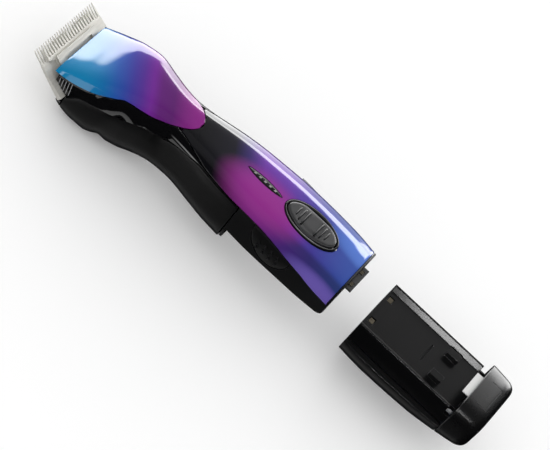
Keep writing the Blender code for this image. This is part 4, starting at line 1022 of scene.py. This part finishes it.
def build_end_cap():
    rings = []
    turns = [math.pi / 2 * i / 10 for i in range(11)]
    stations = [(197.2, 0.3), (197.5, 0.0)] + [(x, 0.0) for x in span(199, 206, 1.4)]
    stations += [(206 + 7.5 * math.sin(t), 4.2 * (1 - math.cos(t)) ** 1.4) for t in turns[1:]]
    for x, inset in stations:
        rings.append(slid_ring([skin(x, 360 * i / 96, inset) for i in range(96)]))
    end = loft("battery_nose", rings, LOOKS["end_black"], "battery", ["battery_end_cap"], sharp=60)
    cell_room = slid_box((196, 202.5), (-17, 17), (-12.8, 6.2))
    contact_room = slid_box((196, 201.2), (-9.3, 9.3), (11.4, 15.5))
    carve(end, "DIFFERENCE", cell_room, contact_room)
    carve(end, "DIFFERENCE", *lid_grooves())


# ---------------------------------------------------------------- stage


def build_stage():
    mesh = bpy.data.meshes.new("floor")
    bm = bmesh.new()
    bmesh.ops.create_grid(bm, x_segments=1, y_segments=1, size=6.0)
    bm.to_mesh(mesh)
    bm.free()
    floor = bpy.data.objects.new("floor", mesh)
    floor.location.z = -0.0012
    bpy.context.scene.collection.objects.link(floor)
    g = Graph("floor_look")
    g.set(Base_Color=g.mix(g.noise(3.0), (0.94, 0.94, 0.94, 1), (0.96, 0.96, 0.96, 1)), Roughness=0.9)
    g.set(Emission_Color=(1.0, 1.0, 1.0, 1.0), Emission_Strength=0.06)
    hidden = g.nodes.new("ShaderNodeMixShader")
    g.links.new(g.nodes.new("ShaderNodeNewGeometry").outputs["Backfacing"], hidden.inputs["Fac"])
    g.links.new(g.surface.outputs["BSDF"], hidden.inputs[1])
    g.links.new(g.nodes.new("ShaderNodeBsdfTransparent").outputs["BSDF"], hidden.inputs[2])
    g.links.new(hidden.outputs["Shader"], g.nodes["Material Output"].inputs["Surface"])
    mesh.materials.append(g.material)
    floor.visible_glossy = False


def build_world():
    """Even pale surroundings for matt surfaces and the floor; polished ones see only the light cards."""
    world = bpy.data.worlds.new("studio")
    world.use_nodes = True
    bpy.context.scene.world = world
    background = world.node_tree.nodes["Background"]
    background.inputs["Color"].default_value = (1.0, 1.0, 1.0, 1.0)
    background.inputs["Strength"].default_value = 1.0
    world.cycles_visibility.glossy = False


class Card:
    """A rectangular area light seen only in reflections, with a brightness made of soft-edged masks."""

    def __init__(self, name, centre, aim, size, spread=180.0):
        self.data = bpy.data.lights.new(name, "AREA")
        self.data.spread = math.radians(spread)
        self.data.shape = "RECTANGLE"
        self.data.size, self.data.size_y = size[0] * MM, size[1] * MM
        self.data.energy = math.pi * self.data.size * self.data.size_y
        self.data.use_nodes = True
        light = bpy.data.objects.new(name, self.data)
        light.location = drawn(centre)
        light.rotation_euler = (drawn(aim) - drawn(centre)).to_track_quat("-Z", "Y").to_euler()
        light.visible_diffuse = False
        light.visible_camera = False
        bpy.context.scene.collection.objects.link(light)
        self.nodes, self.links = self.data.node_tree.nodes, self.data.node_tree.links
        geometry = self.nodes.new("ShaderNodeNewGeometry")
        self.place = geometry.outputs["Position"]

    def calc(self, operation, *values):
        node = self.nodes.new("ShaderNodeMath")
        node.operation = operation
        for socket, value in zip(node.inputs, values):
            if isinstance(value, bpy.types.NodeSocket):
                self.links.new(value, socket)
            else:
                socket.default_value = value
        return node.outputs[0]

    def along(self, x, y, z):
        """How far a point of the card lies along a direction, in drawing millimetres."""
        node = self.nodes.new("ShaderNodeVectorMath")
        node.operation = "DOT_PRODUCT"
        self.links.new(self.place, node.inputs[0])
        node.inputs[1].default_value = (x, y, z)
        start = REST_PAD.dot(Vector((x, y, z)))
        return self.calc("MULTIPLY_ADD", node.outputs["Value"], 1 / MM, start)

    def fade(self, value, low, high, at_low=0.0, at_high=1.0):
        """Goes smoothly from one brightness to another while the value goes from low to high."""
        if low > high:
            low, high, at_low, at_high = high, low, at_high, at_low
        node = self.nodes.new("ShaderNodeMapRange")
        node.interpolation_type = "SMOOTHSTEP"
        self.links.new(value, node.inputs["Value"])
        for key, number in (("From Min", low), ("From Max", high), ("To Min", at_low), ("To Max", at_high)):
            node.inputs[key].default_value = number
        return node.outputs["Result"]

    def shine(self, strength, *masks):
        total = self.calc("MULTIPLY", strength, 1.0)
        for mask in masks:
            total = self.calc("MULTIPLY", total, mask)
        self.links.new(total, self.nodes["Emission"].inputs["Strength"])


def build_lights():
    wall = Card("far_wall", (-600, 1500, 250), (-600, 0, 250), (3400, 2600))
    across, height = wall.along(1, 0, 0), wall.along(0, 0, 1)
    left = wall.fade(wall.along(1, 0, -1.17), -2700, -2450)
    top = wall.fade(height, 1010, 940)
    level = wall.calc("ADD", wall.fade(across, -300, 200, 7.6, 1.4), wall.fade(across, 370, 440, 0.0, 8.0))
    wall.shine(level, left, top, wall.fade(height, -160, -20))
    strip = Card("shoulder_strip", (160, 1500, 1250), (160, 0, 0), (1700, 700))
    height = strip.along(0, 0, 1)
    begin, upper = strip.fade(strip.along(1, 0, 0), -600, -350), strip.fade(strip.along(-0.2, 0, 1), 1340, 1280)
    strip.shine(11.0, begin, upper, strip.fade(height, 1060, 1110), strip.fade(strip.along(1, 0, 0), 700, 620))
    ceiling = Card("ceiling", (100, 0, 1800), (100, 0, 0), (3000, 1500))
    ceiling.shine(0.1)
    ridge = Card("left_card", (-685, -1186, -291), (40, 0, 0), (1130, 390))
    side, height = ridge.along(0.85, -0.52, 0), ridge.along(0, 0, 1)
    ridge.shine(3.2, ridge.fade(side, -530, -260), ridge.fade(side, 600, 330),
                ridge.fade(height, -480, -360), ridge.fade(height, -110, -220))
    cheek = Card("cheek_card", (-233, -786, -598), (30, -21, -10), (200, 340))
    cheek.shine(1.0)
    low = Card("low_left", (-20, -300, -951), (60, 0, 0), (1200, 200))
    low.shine(0.5)
    rail = Card("rail_card", (262, -141, 135), (255, 15, 9), (60, 36), 20.0)
    rail.shine(2.6)


def build_camera():
    data = bpy.data.cameras.new("camera")
    data.sensor_width = 36.0
    data.lens = 174.4
    data.clip_end = 10.0
    camera = bpy.data.objects.new("camera", data)
    right = Vector((0.7298, 0.5548, 0.3994))
    up = Vector((-0.6825, 0.5571, 0.4731))
    back = Vector((0.0400, -0.6179, 0.7852))
    turn = Matrix((right, up, back)).transposed().to_4x4()
    camera.matrix_world = Matrix.Translation(drawn((203.29, -840.29, 1067.33))) @ turn
    bpy.context.scene.collection.objects.link(camera)
    bpy.context.scene.camera = camera
    bpy.context.scene.view_settings.view_transform = "Standard"


# The end and deck looks carry a paler colour for a painted edge highlight.
LOOKS["end_black"] = plastic("end_black_look", (0.004, 0.004, 0.0045, 1), 0.27, 2200.0, 0.01, (0.07, 0.07, 0.072, 1), sheen=0.5)
LOOKS["deck_black"] = plastic("deck_black_look", (0.003, 0.003, 0.0034, 1), 0.3, 2200.0, 0.02, (0.07, 0.07, 0.072, 1), sheen=0.1)
# Pale grey ribs: a painted highlight; the ribs are black like the cheeks.
LOOKS["vent_rib"] = plastic("vent_rib_look", (0.3, 0.3, 0.31, 1), 0.18, 400.0, 0.01, coat=1.0)
LOOKS["lamp"] = plastic("lamp_look", (0.3, 0.3, 0.29, 1), 0.3, 400.0, 0.02)
dress_nodes()
build_cap()
build_cover()
build_upper_housing()
vent_ribs()
build_lower_housing()
build_grip()
build_blades()
build_bay()
build_release_button(-1, "left")
build_release_button(1, "right")
build_switch()
build_lens()
build_battery()
build_stage()
build_world()
build_lights()
build_camera()
